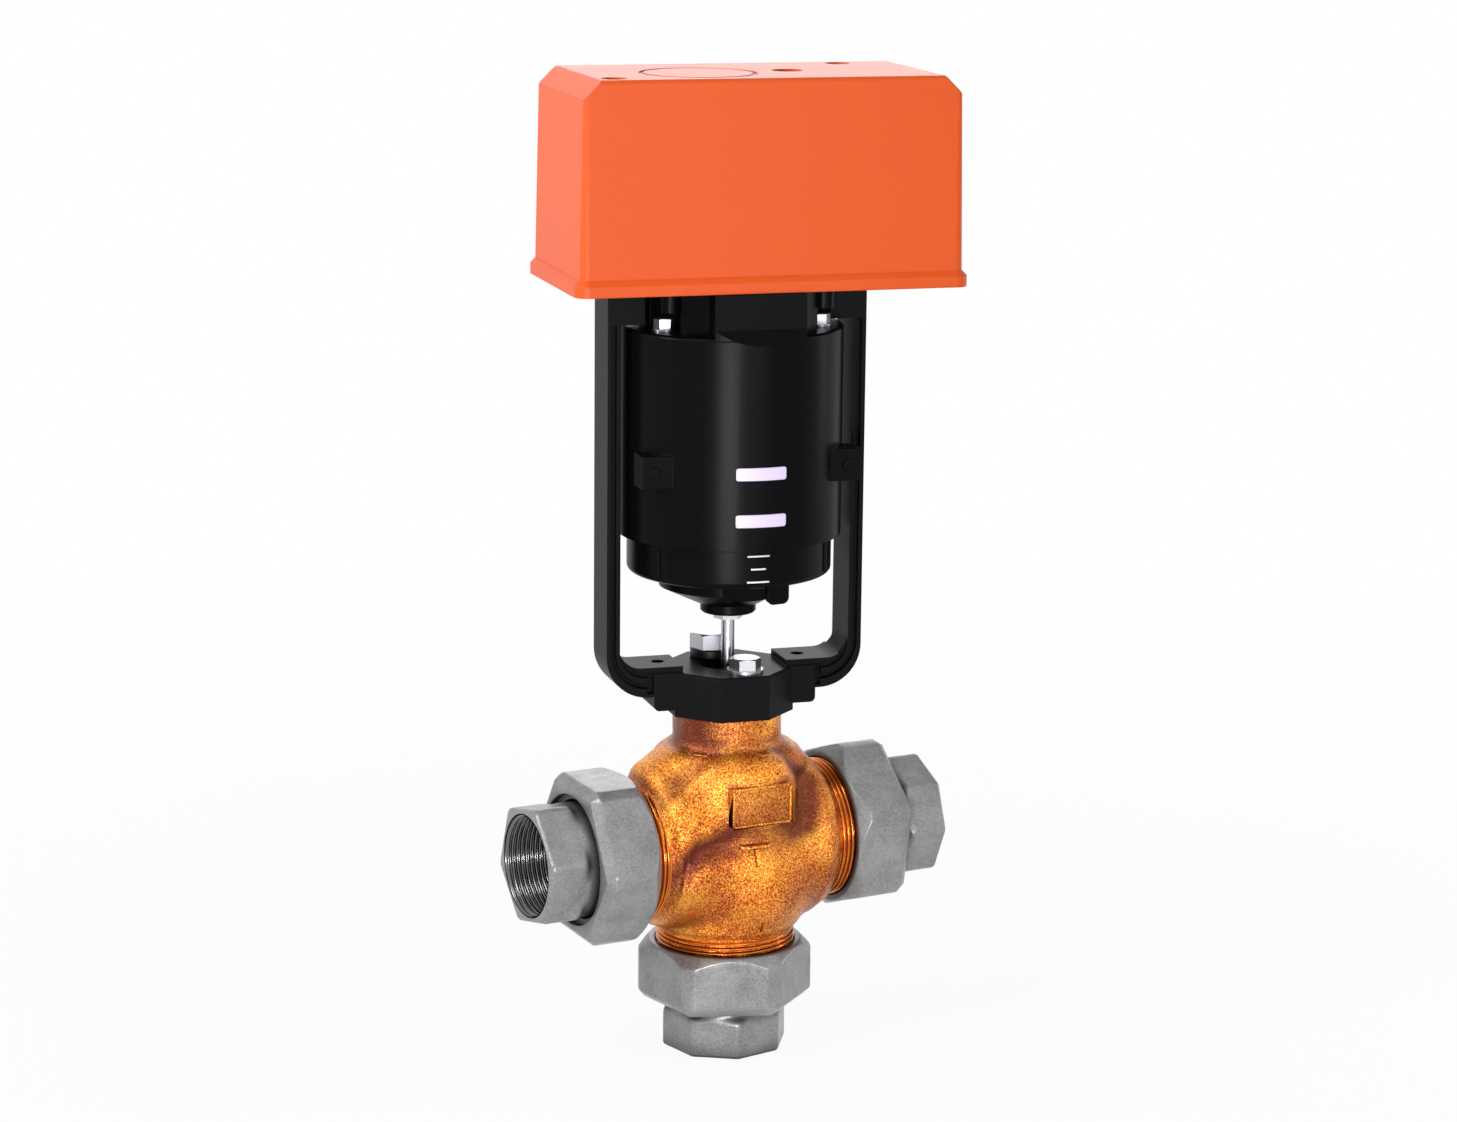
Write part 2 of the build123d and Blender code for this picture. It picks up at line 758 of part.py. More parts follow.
def rear_bolt():
    """Larger hexagon bolt on its spacer, rear of the hub."""
    seat = hub_top + rear_spacer_height
    bolt = hex_head(rear_bolt_flats, seat, seat + rear_head_height)
    bolt += rod(bolt_shank_r, neck_top - bolt_depth, seat)
    return Pos(0, bolt_radius, 0) * bolt


def rear_spacer():
    """Turned spacer under the rear bolt's head."""
    spacer = ring(rear_spacer_r, bolt_shank_r + running_gap, hub_top, hub_top + rear_spacer_height)
    return Pos(0, bolt_radius, 0) * chamfer(outer_rims(spacer), 0.6)


def window_opening(z, grow=0.0):
    """Cutter with rounded corners for one window in the front wall."""
    half_w = window_width / 2 + grow
    half_h = window_height / 2 + grow
    cutter = block(-half_w, half_w, -housing_r - 1, window_reach - housing_r, z - half_h, z + half_h)
    return fillet(cutter.edges().filter_by(Axis.Y), window_corner_r + grow)


def screw_pocket(u, v):
    """Room round one screw head above the shoulder, open to the outside."""
    way = math.degrees(math.atan2(v, u))
    low = shoulder_z
    high = chassis_bottom + 1
    channel = block(0, housing_r, -screw_pocket_r, screw_pocket_r, low, high)
    return rod(screw_pocket_r, low, high, u, v) + Pos(u, v, 0) * Rot(0, 0, way) * channel


def drive_housing():
    """Black housing: drum, shouldered tower, front facet, side lugs, window openings."""
    inner_r = housing_r - housing_wall
    chord = facet_chord_half()
    pillar_top = cover_bottom - free_gap
    pillar = block(-chord, chord, -housing_r, facet_distance, shoulder_z - 1, pillar_top) \
        & rod(housing_r, shoulder_z - 1, pillar_top)
    drum = rod(housing_r, housing_bottom, shoulder_z)
    drum = fillet(drum.edges().group_by(Axis.Z)[-1], drum_edge_round)
    tower = rod(tower_r, shoulder_z - 1, chassis_bottom)
    for place in housing_screw_places():
        tower -= screw_pocket(*place)
    for place in chassis_boss_places():
        tower -= rod(chassis_boss_r + 2 * free_gap, shoulder_z, chassis_bottom + 1, *place)
    shell = drum + tower + pillar
    for side in (-1, 1):
        lug = block(lug_inner, lug_outer, -lug_front, -lug_front + lug_depth, lug_bottom, lug_top)
        shell += mirror(lug, Plane.YZ) if side < 0 else lug
    beyond = -housing_r - 2
    facet = Plane.YZ * make_face(Polyline([(-facet_distance, pillar_top + 1), (-facet_distance, facet_bottom),
                                           (-housing_r, facet_runout), (beyond, facet_runout),
                                           (beyond, pillar_top + 1)], close=True))
    shell -= extrude(facet, chord + 1, both=True)
    shell -= rod(inner_r, housing_bottom - 1, shoulder_z - deck_thick)
    for place in housing_screw_places():
        shell -= rod(housing_screw_shank_r + running_gap, shoulder_z - deck_thick - 1, shoulder_z + 1, *place)
    shell -= rod(bearing_r + running_gap, shoulder_z - deck_thick - 1, upper_bearing_z + bearing_height)
    shell -= rod(bearing_bore_r, shoulder_z, upper_bearing_z + bearing_height + 2)
    shell -= rod(idler_shaft_r + running_gap, shoulder_z - deck_thick - 1, chassis_bottom + 1,
                 idler_u, idler_v)
    for z in (window_upper_z, window_lower_z):
        shell -= window_opening(z)
    for side in (-1, 1):
        hole = Pos(side * lug_screw_u, -lug_front + 4, (lug_bottom + lug_top) / 2) \
            * Rot(90, 0, 0) * Cylinder(lug_screw_shank_r + running_gap, lug_screw_length + 2)
        shell -= hole
    return on_actuator(shell)


def facet_chord_half():
    """Half the width of the flat where its plane cuts the drum."""
    return math.sqrt(housing_r ** 2 - facet_distance ** 2)


def indicator_windows():
    """Two white windows, curved like the drum and set into its wall."""
    windows = []
    for z in (window_upper_z, window_lower_z):
        face_r = housing_r - window_sink
        bar = ring(face_r, face_r - window_thick, z - window_height, z + window_height)
        windows.append(on_actuator(bar & window_opening(z, -seat_gap)))
    return Compound(windows)


def lower_cap():
    """Cup that closes the drum from below, with rib pairs and one hanging tab."""
    cup = fillet(rod(cap_r, cap_bottom, housing_bottom).edges().group_by(Axis.Z)[0], cap_edge_round)
    spigot_outer = housing_r - housing_wall - seat_gap
    cup += rod(spigot_outer, housing_bottom, housing_bottom + cap_spigot)
    cup -= rod(spigot_outer - cap_wall, cap_bottom + cap_wall + 0.5, housing_bottom + cap_spigot + 1)
    for side in (0, 180):
        for flank in (-cap_rib_angle, cap_rib_angle):
            for spread in (-cap_rib_spread, cap_rib_spread):
                rib = block(cap_r - 1, cap_r + cap_rib_rise, -cap_rib_width / 2, cap_rib_width / 2,
                            cap_bottom + cap_edge_round, housing_bottom)
                cup += Rot(0, 0, side + flank + spread) * rib
    tab = block(tab_u - tab_width / 2, tab_u + tab_width / 2, -cap_r, -cap_r + tab_thick + 4,
                cap_bottom - tab_drop, cap_bottom + 2)
    corners = tab.edges().filter_by(Axis.Y).group_by(Axis.Z)[0]
    tab = fillet(corners, tab_corner_r) & ring(cap_r - tab_sink, cap_r - tab_sink - tab_thick,
                                               cap_bottom - tab_drop - 1, cap_bottom + cap_wall)
    cup += tab
    cup -= rod(nose_r + seat_gap, cap_bottom - 1, cap_bottom + cap_wall + 1)
    return on_actuator(cup)


def spindle_guide():
    """Offset dished guide under the cap, with a nose, a bore and a key for the spindle."""
    dish = turned([(0, guide_bottom), (guide_foot_r, guide_bottom), (guide_r, cap_bottom - guide_straight),
                   (guide_r, cap_bottom), (0, cap_bottom)])
    reach = 2 * guide_r
    side = block(0, reach, -reach, reach, -reach, reach)
    dish -= Pos(guide_cut_u, 0, cap_bottom) * Rot(0, guide_cut_slant, 0) * side
    facet = block(-reach, reach, -reach, -guide_facet_out, guide_bottom - 1, cap_bottom + 1)
    dish -= Rot(0, 0, guide_facet_turn) * facet
    boss_top = cap_bottom + guide_boss_height
    guide = dish + rod(nose_r, cap_bottom, boss_top)
    nose = rod(nose_r, nose_bottom, guide_bottom + 1)
    guide += chamfer(nose.edges().group_by(Axis.Z)[0], nose_edge_bevel)
    guide -= rod(spindle_r + running_gap, nose_bottom - 1, boss_top + 1)
    guide -= rod(nose_pocket_r, nose_bottom - 1, nose_bottom + nose_pocket_depth)
    key_half = keyway_width / 2 - running_gap
    key = block(-key_half, key_half, spindle_r - keyway_depth + free_gap, spindle_r + 2,
                nose_bottom + nose_pocket_depth + 1, boss_top)
    return on_actuator(guide + key)


def drive_spindle():
    """Lead screw that slides without turning, with a keyway down its back."""
    spindle = chamfer(rod(spindle_r, coupling_top, spindle_top).edges(), spindle_edge_bevel)
    spindle -= rod(stem_r + running_gap, coupling_top - 1, coupling_top + stem_thread_length + 0.5)
    spindle -= block(-keyway_width / 2, keyway_width / 2, spindle_r - keyway_depth, spindle_r + 1,
                     coupling_top - 1, spindle_top - keyway_end_drop)
    return on_actuator(spindle)


def stem_coupling():
    """Hexagon nut that locks the stem in the spindle's end."""
    nut = hex_head(coupling_flats, coupling_bottom, coupling_top)
    return nut - rod(stem_r + running_gap / 2, coupling_bottom - 1, coupling_top + 1)


def spur_gear(teeth, width, low, phase=0.0):
    """Involute spur gear with two flank points above the root on each side."""
    pitch_r = gear_module * teeth / 2
    root_r = pitch_r - tooth_root_share * gear_module
    tip_r = pitch_r + tooth_tip_share * gear_module
    base_r = pitch_r * math.cos(math.radians(pressure_angle))

    def flank_angle(radius):
        roll = math.sqrt(max((radius / base_r) ** 2 - 1, 0))
        return roll - math.atan(roll)

    thick = (math.pi / 2 * gear_module - tooth_backlash / 2) / (2 * pitch_r)
    points = []
    for index in range(teeth):
        centre = 2 * math.pi * index / teeth + math.radians(phase)
        radii = [root_r, max(base_r, root_r + 0.2), (pitch_r + tip_r) / 2, tip_r]
        half = [thick + flank_angle(pitch_r) - flank_angle(r) for r in radii]
        left = [(r, centre - h) for r, h in zip(radii, half)]
        right = [(r, centre + h) for r, h in zip(reversed(radii), reversed(half))]
        points += [(r * math.cos(a), r * math.sin(a)) for r, a in left + right]
    return Pos(0, 0, low) * extrude(make_face(Polyline(points, close=True)), width)


def mesh_phase(teeth, other_teeth, angle, other_phase=0.0):
    """Turn of a gear that sets a gap on its mate's tooth. angle points from the mate to it."""
    toward = math.degrees(angle)
    mate_step = 360 / other_teeth
    step = 360 / teeth
    offset = ((toward - other_phase) / mate_step) % 1.0
    return toward + 180 + step * (offset + 0.5)


def wheel_gear():
    """Toothed spindle nut, carried by two bearings."""
    low = lower_bearing_z + free_gap
    high = upper_bearing_z + bearing_height - free_gap
    gear = spur_gear(wheel_teeth, wheel_width, wheel_z)
    gear += rod(bearing_bore_r - running_gap, low, high)
    gear += rod(gear_collar_r, lower_bearing_z + bearing_height + free_gap, upper_bearing_z - free_gap)
    gear -= rod(spindle_r + running_gap, low - 1, high + 1)
    return on_actuator(gear)


def bearing(low):
    """Plain bearing ring of the spindle nut."""
    return chamfer(outer_rims(ring(bearing_r, bearing_bore_r, low, low + bearing_height)), 0.5)


def bearing_plate():
    """Plate hung on four posts inside the drum, with seats for the lower bearing and the idler."""
    plate = rod(housing_r - housing_wall - free_gap, bearing_plate_z, bearing_plate_top)
    plate += rod(bearing_r + bearing_seat_wall, bearing_plate_z, lower_bearing_z + bearing_height)
    plate += rod(idler_shaft_r + idler_seat_wall, bearing_plate_z, wheel_z - bearing_seat_depth,
                 idler_u, idler_v)
    post_top = shoulder_z - deck_thick
    for place in housing_screw_places():
        plate += rod(plate_post_r, bearing_plate_z, post_top, *place)
        plate -= rod(housing_screw_shank_r + running_gap, shoulder_z - housing_screw_length, post_top + 1,
                     *place)
    plate -= rod(bearing_r + running_gap, lower_bearing_z, lower_bearing_z + bearing_height + 1)
    plate -= rod(bearing_bore_r, bearing_plate_z - 1, lower_bearing_z + 1)
    plate -= rod(idler_shaft_r + running_gap, bearing_plate_top, wheel_z, idler_u, idler_v)
    return on_actuator(plate)


def intermediate_gear():
    """Shaft with a pinion on the spindle nut and a wheel between motor and crank."""
    pinion = spur_gear(idler_pinion_teeth, wheel_width + 1.5, wheel_z - 1.0,
                       mesh_phase(idler_pinion_teeth, wheel_teeth, idler_angle))
    wheel = spur_gear(idler_wheel_teeth, upper_gear_width, upper_gear_z)
    shaft = rod(idler_shaft_r, bearing_plate_top + free_gap, bridge_z + bridge_thick - 0.5)
    return on_actuator(Pos(idler_u, idler_v, 0) * (pinion + wheel + shaft))


def motor_pinion():
    """Pinion on the motor's shaft."""
    angle = math.radians(motor_direction)
    phase = mesh_phase(motor_teeth, idler_wheel_teeth, angle)
    pinion = spur_gear(motor_teeth, upper_gear_width + 1, upper_gear_z - 0.5, phase)
    pinion += rod(motor_shaft_r, chassis_top + free_gap, bridge_z + bridge_thick - free_gap)
    return on_actuator(Pos(motor_u, motor_v, 0) * pinion)


def crank_shaft():
    """Shaft for hand setting, with a hexagon socket under the cover's hole."""
    angle = math.atan2(crank_v - idler_v, crank_u - idler_u)
    phase = mesh_phase(crank_teeth, idler_wheel_teeth, angle)
    shaft = spur_gear(crank_teeth, upper_gear_width, upper_gear_z, phase)
    shaft += rod(crank_shaft_r, chassis_bottom + free_gap, crank_top)
    shaft += rod(crank_socket_r, crank_top - crank_socket_length, crank_top)
    shaft -= prism(6, crank_socket_flats, crank_top - crank_socket_depth, crank_top + 1)
    return on_actuator(Pos(crank_u, crank_v, 0) * shaft)


def bridge_posts():
    """Feet of the gear bridge, clear of the gears."""
    left = idler_u - gear_module * idler_wheel_teeth / 2 - bridge_clearance
    right = motor_u + motor_r + bridge_clearance / 3
    front = motor_v - motor_r + bridge_clearance / 2
    back = crank_v + gear_module * crank_teeth / 2 + bridge_clearance
    return left, right, front, back


def gear_bridge():
    """Plate on four posts that carries the motor and the shafts' upper ends."""
    left, right, front, back = bridge_posts()
    low = bridge_z
    plate = block(left - bridge_margin, right + bridge_margin, front - bridge_margin,
                  back + bridge_margin, low, low + bridge_thick)
    plate = fillet(plate.edges().filter_by(Axis.Z), bridge_margin)
    for u in (left, right):
        for v in (front, back):
            plate += rod(bridge_post_r, chassis_top, low + 1, u, v)
    plate -= rod(idler_shaft_r + running_gap, low - 1, low + bridge_thick + 1, idler_u, idler_v)
    plate -= rod(crank_shaft_r + running_gap, low - 1, low + bridge_thick + 1, crank_u, crank_v)
    plate -= rod(motor_shaft_r + 1.0, low - 1, low + bridge_thick + 1, motor_u, motor_v)
    return on_actuator(plate)


def motor():
    """Round motor can with its flange, standing on the bridge."""
    low = bridge_z + bridge_thick
    can = rod(motor_r, low, low + motor_height)
    can = fillet(can.edges().group_by(Axis.Z)[-1], motor_edge_round)
    can += rod(2 * motor_shaft_r, low + motor_height - 1, low + motor_height + motor_boss_rise)
    ear = motor_r + motor_ear_reach
    can += block(-ear, ear, -motor_ear_reach, motor_ear_reach, low, low + motor_ear_thick) \
        & rod(ear, low, low + 2 * motor_ear_thick)
    return on_actuator(Pos(motor_u, motor_v, 0) * can)


def cover_outline(grow=0.0):
    """Rounded outline of the cover's foot, grown or shrunk all round."""
    width = cover_right - cover_left + 2 * grow
    depth = 2 * cover_half_depth + 2 * grow
    corner = max(cover_corner_r + grow, 1.0)
    return Pos((cover_left + cover_right) / 2, 0) * RectangleRounded(width, depth, corner)


def cover_block(inset, low, high, bevel, rounding):
    """Drafted block of the cover, inset from its foot, with bevelled ends and rounded top edges."""
    solid = Pos(0, 0, low) * extrude(cover_outline(-inset), high - low, taper=cover_draft)
    rise = (high - low) * math.tan(math.radians(cover_draft))
    left = cover_left + inset + rise
    right = cover_right - inset - rise
    deep = 2 * cover_half_depth
    for end, way in ((left, 1), (right, -1)):
        wedge = Plane.XZ * make_face(Polyline([(end - 3 * way, high + 1), (end + bevel * way, high + 1),
                                               (end + bevel * way, high), (end, high - bevel),
                                               (end - 3 * way, high - bevel)], close=True))
        solid -= extrude(wedge, deep, both=True)
    top_edges = solid.faces().sort_by(Axis.Z)[-1].edges().filter_by(Axis.X)
    return fillet(top_edges, rounding)


def cover():
    """Orange moulded cover: drafted shell, foot lip, crank hole, screw wells and a turned mark."""
    shell = cover_block(cover_lip_rise, cover_bottom, cover_top, cover_end_bevel, cover_top_round)
    lip = Pos(0, 0, cover_bottom) * extrude(cover_outline(), cover_lip_height - cover_lip_rise)
    slope = extrude(cover_outline(), cover_lip_rise, taper=cover_lip_slope)
    lip += Pos(0, 0, cover_bottom + cover_lip_height - cover_lip_rise) * slope
    inside = cover_block(cover_lip_rise + cover_wall, cover_bottom - 1, cover_top - cover_wall,
                         cover_end_bevel - cover_wall / 2, cover_inner_round)
    foot = Pos(0, 0, cover_bottom - 1) * extrude(cover_outline(-cover_wall),
                                                 chassis_top + free_gap - cover_bottom + 1)
    body = shell + lip
    for u, v in cover_screw_places:
        body += rod(cover_screw_well_r + cover_well_wall, cover_top - cover_wall - cover_well_floor,
                    cover_top - cover_wall / 2, u, v)
    body -= inside - screw_well_bosses()
    body -= foot
    for u, v in cover_screw_places:
        body -= rod(cover_screw_well_r, cover_top - cover_screw_well_depth - 1, cover_top + 1, u, v)
        body -= rod(cover_screw_shank_r + free_gap, cover_top - cover_wall - 2 * cover_well_floor,
                    cover_top + 1, u, v)
    body -= rod(crank_hole_r, cover_top - crank_hole_depth, cover_top + 1, crank_u, crank_v)
    body -= ring(mark_r, mark_r - mark_width, cover_top - mark_depth, cover_top + 1, mark_u, mark_v)
    return on_actuator(body)


def screw_well_bosses():
    """Bosses left standing inside the cover around its screw wells."""
    bosses = rod(0.5, 0, 1)
    for u, v in cover_screw_places:
        bosses += rod(cover_screw_well_r + cover_well_wall, cover_top - cover_wall - cover_well_floor,
                      cover_top, u, v)
    return bosses


def cover_screws():
    """Two cover screws, each from its well down into a chassis post."""
    seat = cover_top - cover_screw_well_depth - 1
    screws = []
    for u, v in cover_screw_places:
        screw = rod(cover_screw_head_r, seat, seat + cover_screw_head_height, u, v)
        screw = chamfer(screw.edges().group_by(Axis.Z)[-1], 0.5)
        slot_floor = seat + cover_screw_head_height - cover_screw_slot_depth
        screw -= block(u - cover_screw_head_r, u + cover_screw_head_r, v - cover_screw_slot_half,
                       v + cover_screw_slot_half, slot_floor, slot_floor + 2 * cover_screw_slot_depth)
        screw += rod(cover_screw_shank_r, seat - cover_screw_length, seat, u, v)
        screws.append(on_actuator(screw))
    return Compound(screws)


def base_plate():
    """Chassis under the cover: plate, hanging bosses, board pillars and cover posts."""
    plate = Pos(0, 0, chassis_bottom) * extrude(cover_outline(-cover_wall - seat_gap), chassis_thick)
    for u, v in cover_screw_places:
        plate += rod(cover_post_r, chassis_bottom, cover_post_top, u, v)
        plate -= rod(cover_screw_shank_r + running_gap, cover_post_top - cover_screw_length,
                     cover_post_top + 1, u, v)
    for u, v in board_pillars():
        plate += rod(board_pillar_r, chassis_top - 1, board_z, u, v)
    for u, v in chassis_boss_places():
        plate += rod(chassis_boss_r, chassis_bottom - chassis_boss_drop, chassis_bottom + 1, u, v)
        plate -= rod(chassis_boss_hole_r, chassis_bottom - chassis_boss_drop - 1, chassis_bottom, u, v)
    for u, v in yoke_screw_places():
        plate -= rod(yoke_screw_r + free_gap, chassis_bottom - 1, chassis_top + 1, u, v)
    plate -= rod(idler_shaft_r + 1, chassis_bottom - 1, chassis_top + 1, idler_u, idler_v)
    plate -= rod(crank_shaft_r + running_gap, chassis_bottom, chassis_top + 1, crank_u, crank_v)
    plate -= rod(gland_r - gland_wall + running_gap, chassis_bottom - 1, chassis_top + 1, gland_u, gland_v)
    return on_actuator(plate)


def board_pillars():
    """Pillars under the circuit board's corners."""
    return [(u, v) for u in (board_left + board_inset, board_right - board_inset)
            for v in (board_front + board_inset, board_back - board_inset)]


def chassis_boss_places():
    """Four screw bosses that hang from the chassis round the tower."""
    return [(side * chassis_boss_u, back * chassis_boss_v) for side in (-1, 1) for back in (-1, 1)]


def housing_screw_places():
    """Four hexagon screws on the housing's shoulder, round the tower."""
    return [(side * housing_screw_u, back * housing_screw_v) for side in (-1, 1) for back in (-1, 1)]


def housing_screws():
    """Hexagon screws with washers. They hold the bearing plate's posts under the shoulder."""
    seat = shoulder_z + housing_washer_thick
    screws = []
    for u, v in housing_screw_places():
        screw = prism(6, housing_screw_flats, seat, seat + housing_screw_head, housing_screw_turn)
        screw += rod(housing_washer_r, shoulder_z, seat)
        screw += rod(housing_screw_shank_r, shoulder_z - housing_screw_length + 1, seat)
        screws.append(on_actuator(Pos(u, v, 0) * screw))
    return Compound(screws)


def lug_screws():
    """Round-headed screws in the two side lugs."""
    screws = []
    for side in (-1, 1):
        head = Pos(0, 0, lug_screw_head / 2) * Cylinder(lug_screw_r, lug_screw_head)
        head = chamfer(head.edges().group_by(Axis.Z)[-1], 0.3)
        screw = head + rod(lug_screw_shank_r, -lug_screw_length, 0)
        screws.append(on_actuator(Pos(side * lug_screw_u, -lug_front, (lug_bottom + lug_top) / 2)
                                  * Rot(90, 0, 0) * screw))
    return Compound(screws)


def circuit_board():
    """Circuit board on its pillars."""
    board = block(board_left, board_right, board_front, board_back, board_z, board_z + board_thick)
    return on_actuator(board)


def terminal_block():
    """Screw terminals along the board's left edge."""
    low = board_z + board_thick
    back = board_back - terminal_back_gap
    left = board_left + terminal_inset
    block_body = block(left, left + terminal_depth, back - terminal_length, back, low,
                       low + terminal_height)
    pitch = terminal_length / terminal_count
    for index in range(terminal_count):
        v = back - terminal_length + pitch * (index + 0.5)
        block_body -= rod(terminal_screw_r, low + terminal_screw_floor, low + terminal_height + 1,
                          left + terminal_depth / 2, v)
        block_body -= block(left - 1, left + terminal_depth / 2, v - terminal_mouth_half,
                            v + terminal_mouth_half, low + terminal_mouth_low, low + terminal_mouth_high)
    return on_actuator(block_body)


def cable_gland():
    """Short gland in the chassis floor, near its right end."""
    gland = chamfer(rod(gland_r, gland_bottom, chassis_bottom).edges().group_by(Axis.Z)[0], 1.0)
    gland += rod(gland_r - gland_wall, chassis_bottom - 1, chassis_top + gland_tail)
    gland += prism(6, 2 * gland_r, chassis_top, chassis_top + gland_nut_height)
    gland -= rod(gland_r - 2 * gland_wall, gland_bottom - 1, chassis_top + gland_tail + 1)
    return on_actuator(Pos(gland_u, gland_v, 0) * gland)


pieces = {
    "valve_body": valve_body(),
    "lower_seat": lower_seat(),
    "valve_plug": valve_plug(),
    "valve_stem": valve_stem(),
    "stem_guide": stem_guide(),
    "stem_packing": stem_packing(),
    "packing_gland": packing_gland(),
    "bottom_tailpiece": tailpiece(bottom_tail_turn),
    "left_tailpiece": on_left_port(tailpiece(run_tail_turn)),
    "right_tailpiece": on_right_port(tailpiece(run_tail_turn)),
    "bottom_union_nut": union_nut(bottom_nut_turn),
    "left_union_nut": on_left_port(union_nut(run_nut_turn)),
    "right_union_nut": on_right_port(union_nut(run_nut_turn)),
    "bottom_gasket": gasket(),
    "left_gasket": on_left_port(gasket()),
    "right_gasket": on_right_port(gasket()),
    "yoke": yoke(),
    "yoke_screws": yoke_screws(),
    "front_bolt": front_bolt(),
    "rear_bolt": rear_bolt(),
    "rear_spacer": rear_spacer(),
    "drive_housing": drive_housing(),
    "indicator_windows": indicator_windows(),
    "lower_cap": lower_cap(),
    "spindle_guide": spindle_guide(),
    "drive_spindle": drive_spindle(),
    "stem_coupling": stem_coupling(),
    "spindle_gear": wheel_gear(),
    "lower_bearing": bearing(lower_bearing_z),
    "upper_bearing": bearing(upper_bearing_z),
    "bearing_plate": bearing_plate(),
    "intermediate_gear": intermediate_gear(),
    "motor_pinion": motor_pinion(),
    "crank_shaft": crank_shaft(),
    "gear_bridge": gear_bridge(),
    "motor": motor(),
    "base_plate": base_plate(),
    "housing_screws": housing_screws(),
    "lug_screws": lug_screws(),
    "circuit_board": circuit_board(),
    "terminal_block": terminal_block(),
    "cable_gland": cable_gland(),
    "cover": cover(),
    "cover_screws": cover_screws(),
}

os.makedirs("parts", exist_ok=True)
for name, shape in pieces.items():
    export_step(shape, os.path.join("parts", name + ".step"))
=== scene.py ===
import json
import math

import bmesh
import bpy
import numpy as np
from mathutils import Matrix, Vector

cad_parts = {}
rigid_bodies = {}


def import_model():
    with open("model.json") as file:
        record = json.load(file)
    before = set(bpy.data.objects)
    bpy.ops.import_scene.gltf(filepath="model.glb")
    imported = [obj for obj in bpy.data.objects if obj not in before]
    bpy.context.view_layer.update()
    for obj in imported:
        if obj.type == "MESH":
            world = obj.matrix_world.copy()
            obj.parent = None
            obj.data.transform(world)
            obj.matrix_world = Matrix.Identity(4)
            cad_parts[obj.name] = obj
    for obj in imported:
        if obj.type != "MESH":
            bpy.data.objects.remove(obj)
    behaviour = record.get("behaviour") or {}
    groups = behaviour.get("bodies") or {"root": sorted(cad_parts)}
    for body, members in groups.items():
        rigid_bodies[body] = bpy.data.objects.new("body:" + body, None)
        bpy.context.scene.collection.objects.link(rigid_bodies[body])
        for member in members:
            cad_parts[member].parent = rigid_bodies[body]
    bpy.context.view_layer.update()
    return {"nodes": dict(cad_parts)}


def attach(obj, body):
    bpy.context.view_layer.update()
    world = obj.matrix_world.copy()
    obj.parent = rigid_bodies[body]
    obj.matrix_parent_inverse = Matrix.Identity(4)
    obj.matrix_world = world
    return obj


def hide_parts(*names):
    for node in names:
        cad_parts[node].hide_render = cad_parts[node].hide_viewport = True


for leftover in list(bpy.data.objects):
    bpy.data.objects.remove(leftover)
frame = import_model()
cad = frame["nodes"]
mm = 0.001

# Valve body.
# A sand-cast gunmetal casting with machined port threads. An S-shaped wall inside it shows on
# the outside as a shallow valley from the left port up to the neck's right side.
port_height = 100.0
run_half_length = 104.0
thread_start = 44.5
thread_end = 65.0
port_thread_root = 31.35
port_thread_crest = 32.85
port_thread_pitch = 2.309
port_core_r = 31.0
port_shoulder_r = 31.6
left_bulge_r = 37.6
right_bulge_r = 39.2
chamber_r = 38.2
chamber_bottom = 84.0
chamber_top = 148.6
chamber_shoulder = 14.0
left_lobe = np.array([-25.0, 0.0, 113.0])
left_lobe_r = 33.2
left_lobe_end = -46.0
lower_lobe = np.array([4.0, -1.5, 86.0])
lower_lobe_r = 39.0
drop_bottom = 39.0
drop_top = 90.0
bottom_thread_top = 59.5
drop_collar_rise = 2.5
drop_collar_r = 33.4
neck_r = 25.5
neck_root = 110.0
neck_top = 164.0
spigot_r = 12.0
spigot_top = 176.0
# each valley's points on the skin, and how deep it is at each: the inner wall's valley, and the
# crease between the left lobe and the chamber
wall_valley = np.array([[-44, -27, 82], [-42, -34, 92], [-38, -37, 100], [-31, -37, 105.7], [-21, -37, 108],
                        [-9, -38, 109.3], [4, -38.6, 109], [17.4, -36, 109.4], [24, -34.6, 114],
                        [27.5, -31, 122], [28.6, -26, 131.5], [22, -29, 142], [17, -26, 147]], float)
wall_valley_depth = np.array([1.5, 3.5, 5.0, 5.0, 4.4, 2.8, 2.2, 2.8, 4.0, 4.6, 4.4, 3.6, 2.4])
lobe_crease = np.array([[-46, -19, 128], [-40, -20, 134], [-34, -20, 140], [-27, -20, 144.5],
                        [-20, -23, 147]], float)
lobe_crease_depth = np.array([1.5, 3.0, 3.4, 2.6, 1.2])
valleys = [(wall_valley, wall_valley_depth), (lobe_crease, lobe_crease_depth)]
valley_width = 6.6
pad_x, pad_z, pad_width, pad_height = -1.8, 126.0, 30.6, 18.6
pad_front = -39.9
pad_rise = 1.3
pad_seat_inset = 1.6
pad_seat_back = -20.0
# fillets where the casting's forms meet
lobe_end_fillet, run_fillet, lower_fillet, chamber_fillet = 4.0, 5.0, 6.0, 5.0
drop_fillet, neck_fillet, pad_fillet = 3.0, 4.0, 2.5
casting_voxel = 1.5
casting_noise = 0.12
casting_wave = 7.0


def linear(code, alpha=1.0):
    """sRGB hex colour as linear RGBA."""
    parts = [int(code[i:i + 2], 16) / 255 for i in (1, 3, 5)]
    return tuple(c / 12.92 if c <= 0.04045 else ((c + 0.055) / 1.055) ** 2.4 for c in parts) + (alpha,)


def add_node(tree, kind, values={}, links={}, **settings):
    """One node with its settings, constant inputs and links from other nodes' outputs."""
    node = tree.nodes.new(kind)
    for key, value in settings.items():
        setattr(node, key, value)
    for key, value in values.items():
        node.inputs[key].default_value = value
    for key, (source, output) in links.items():
        tree.links.new(source.outputs[output], node.inputs[key])
    return node


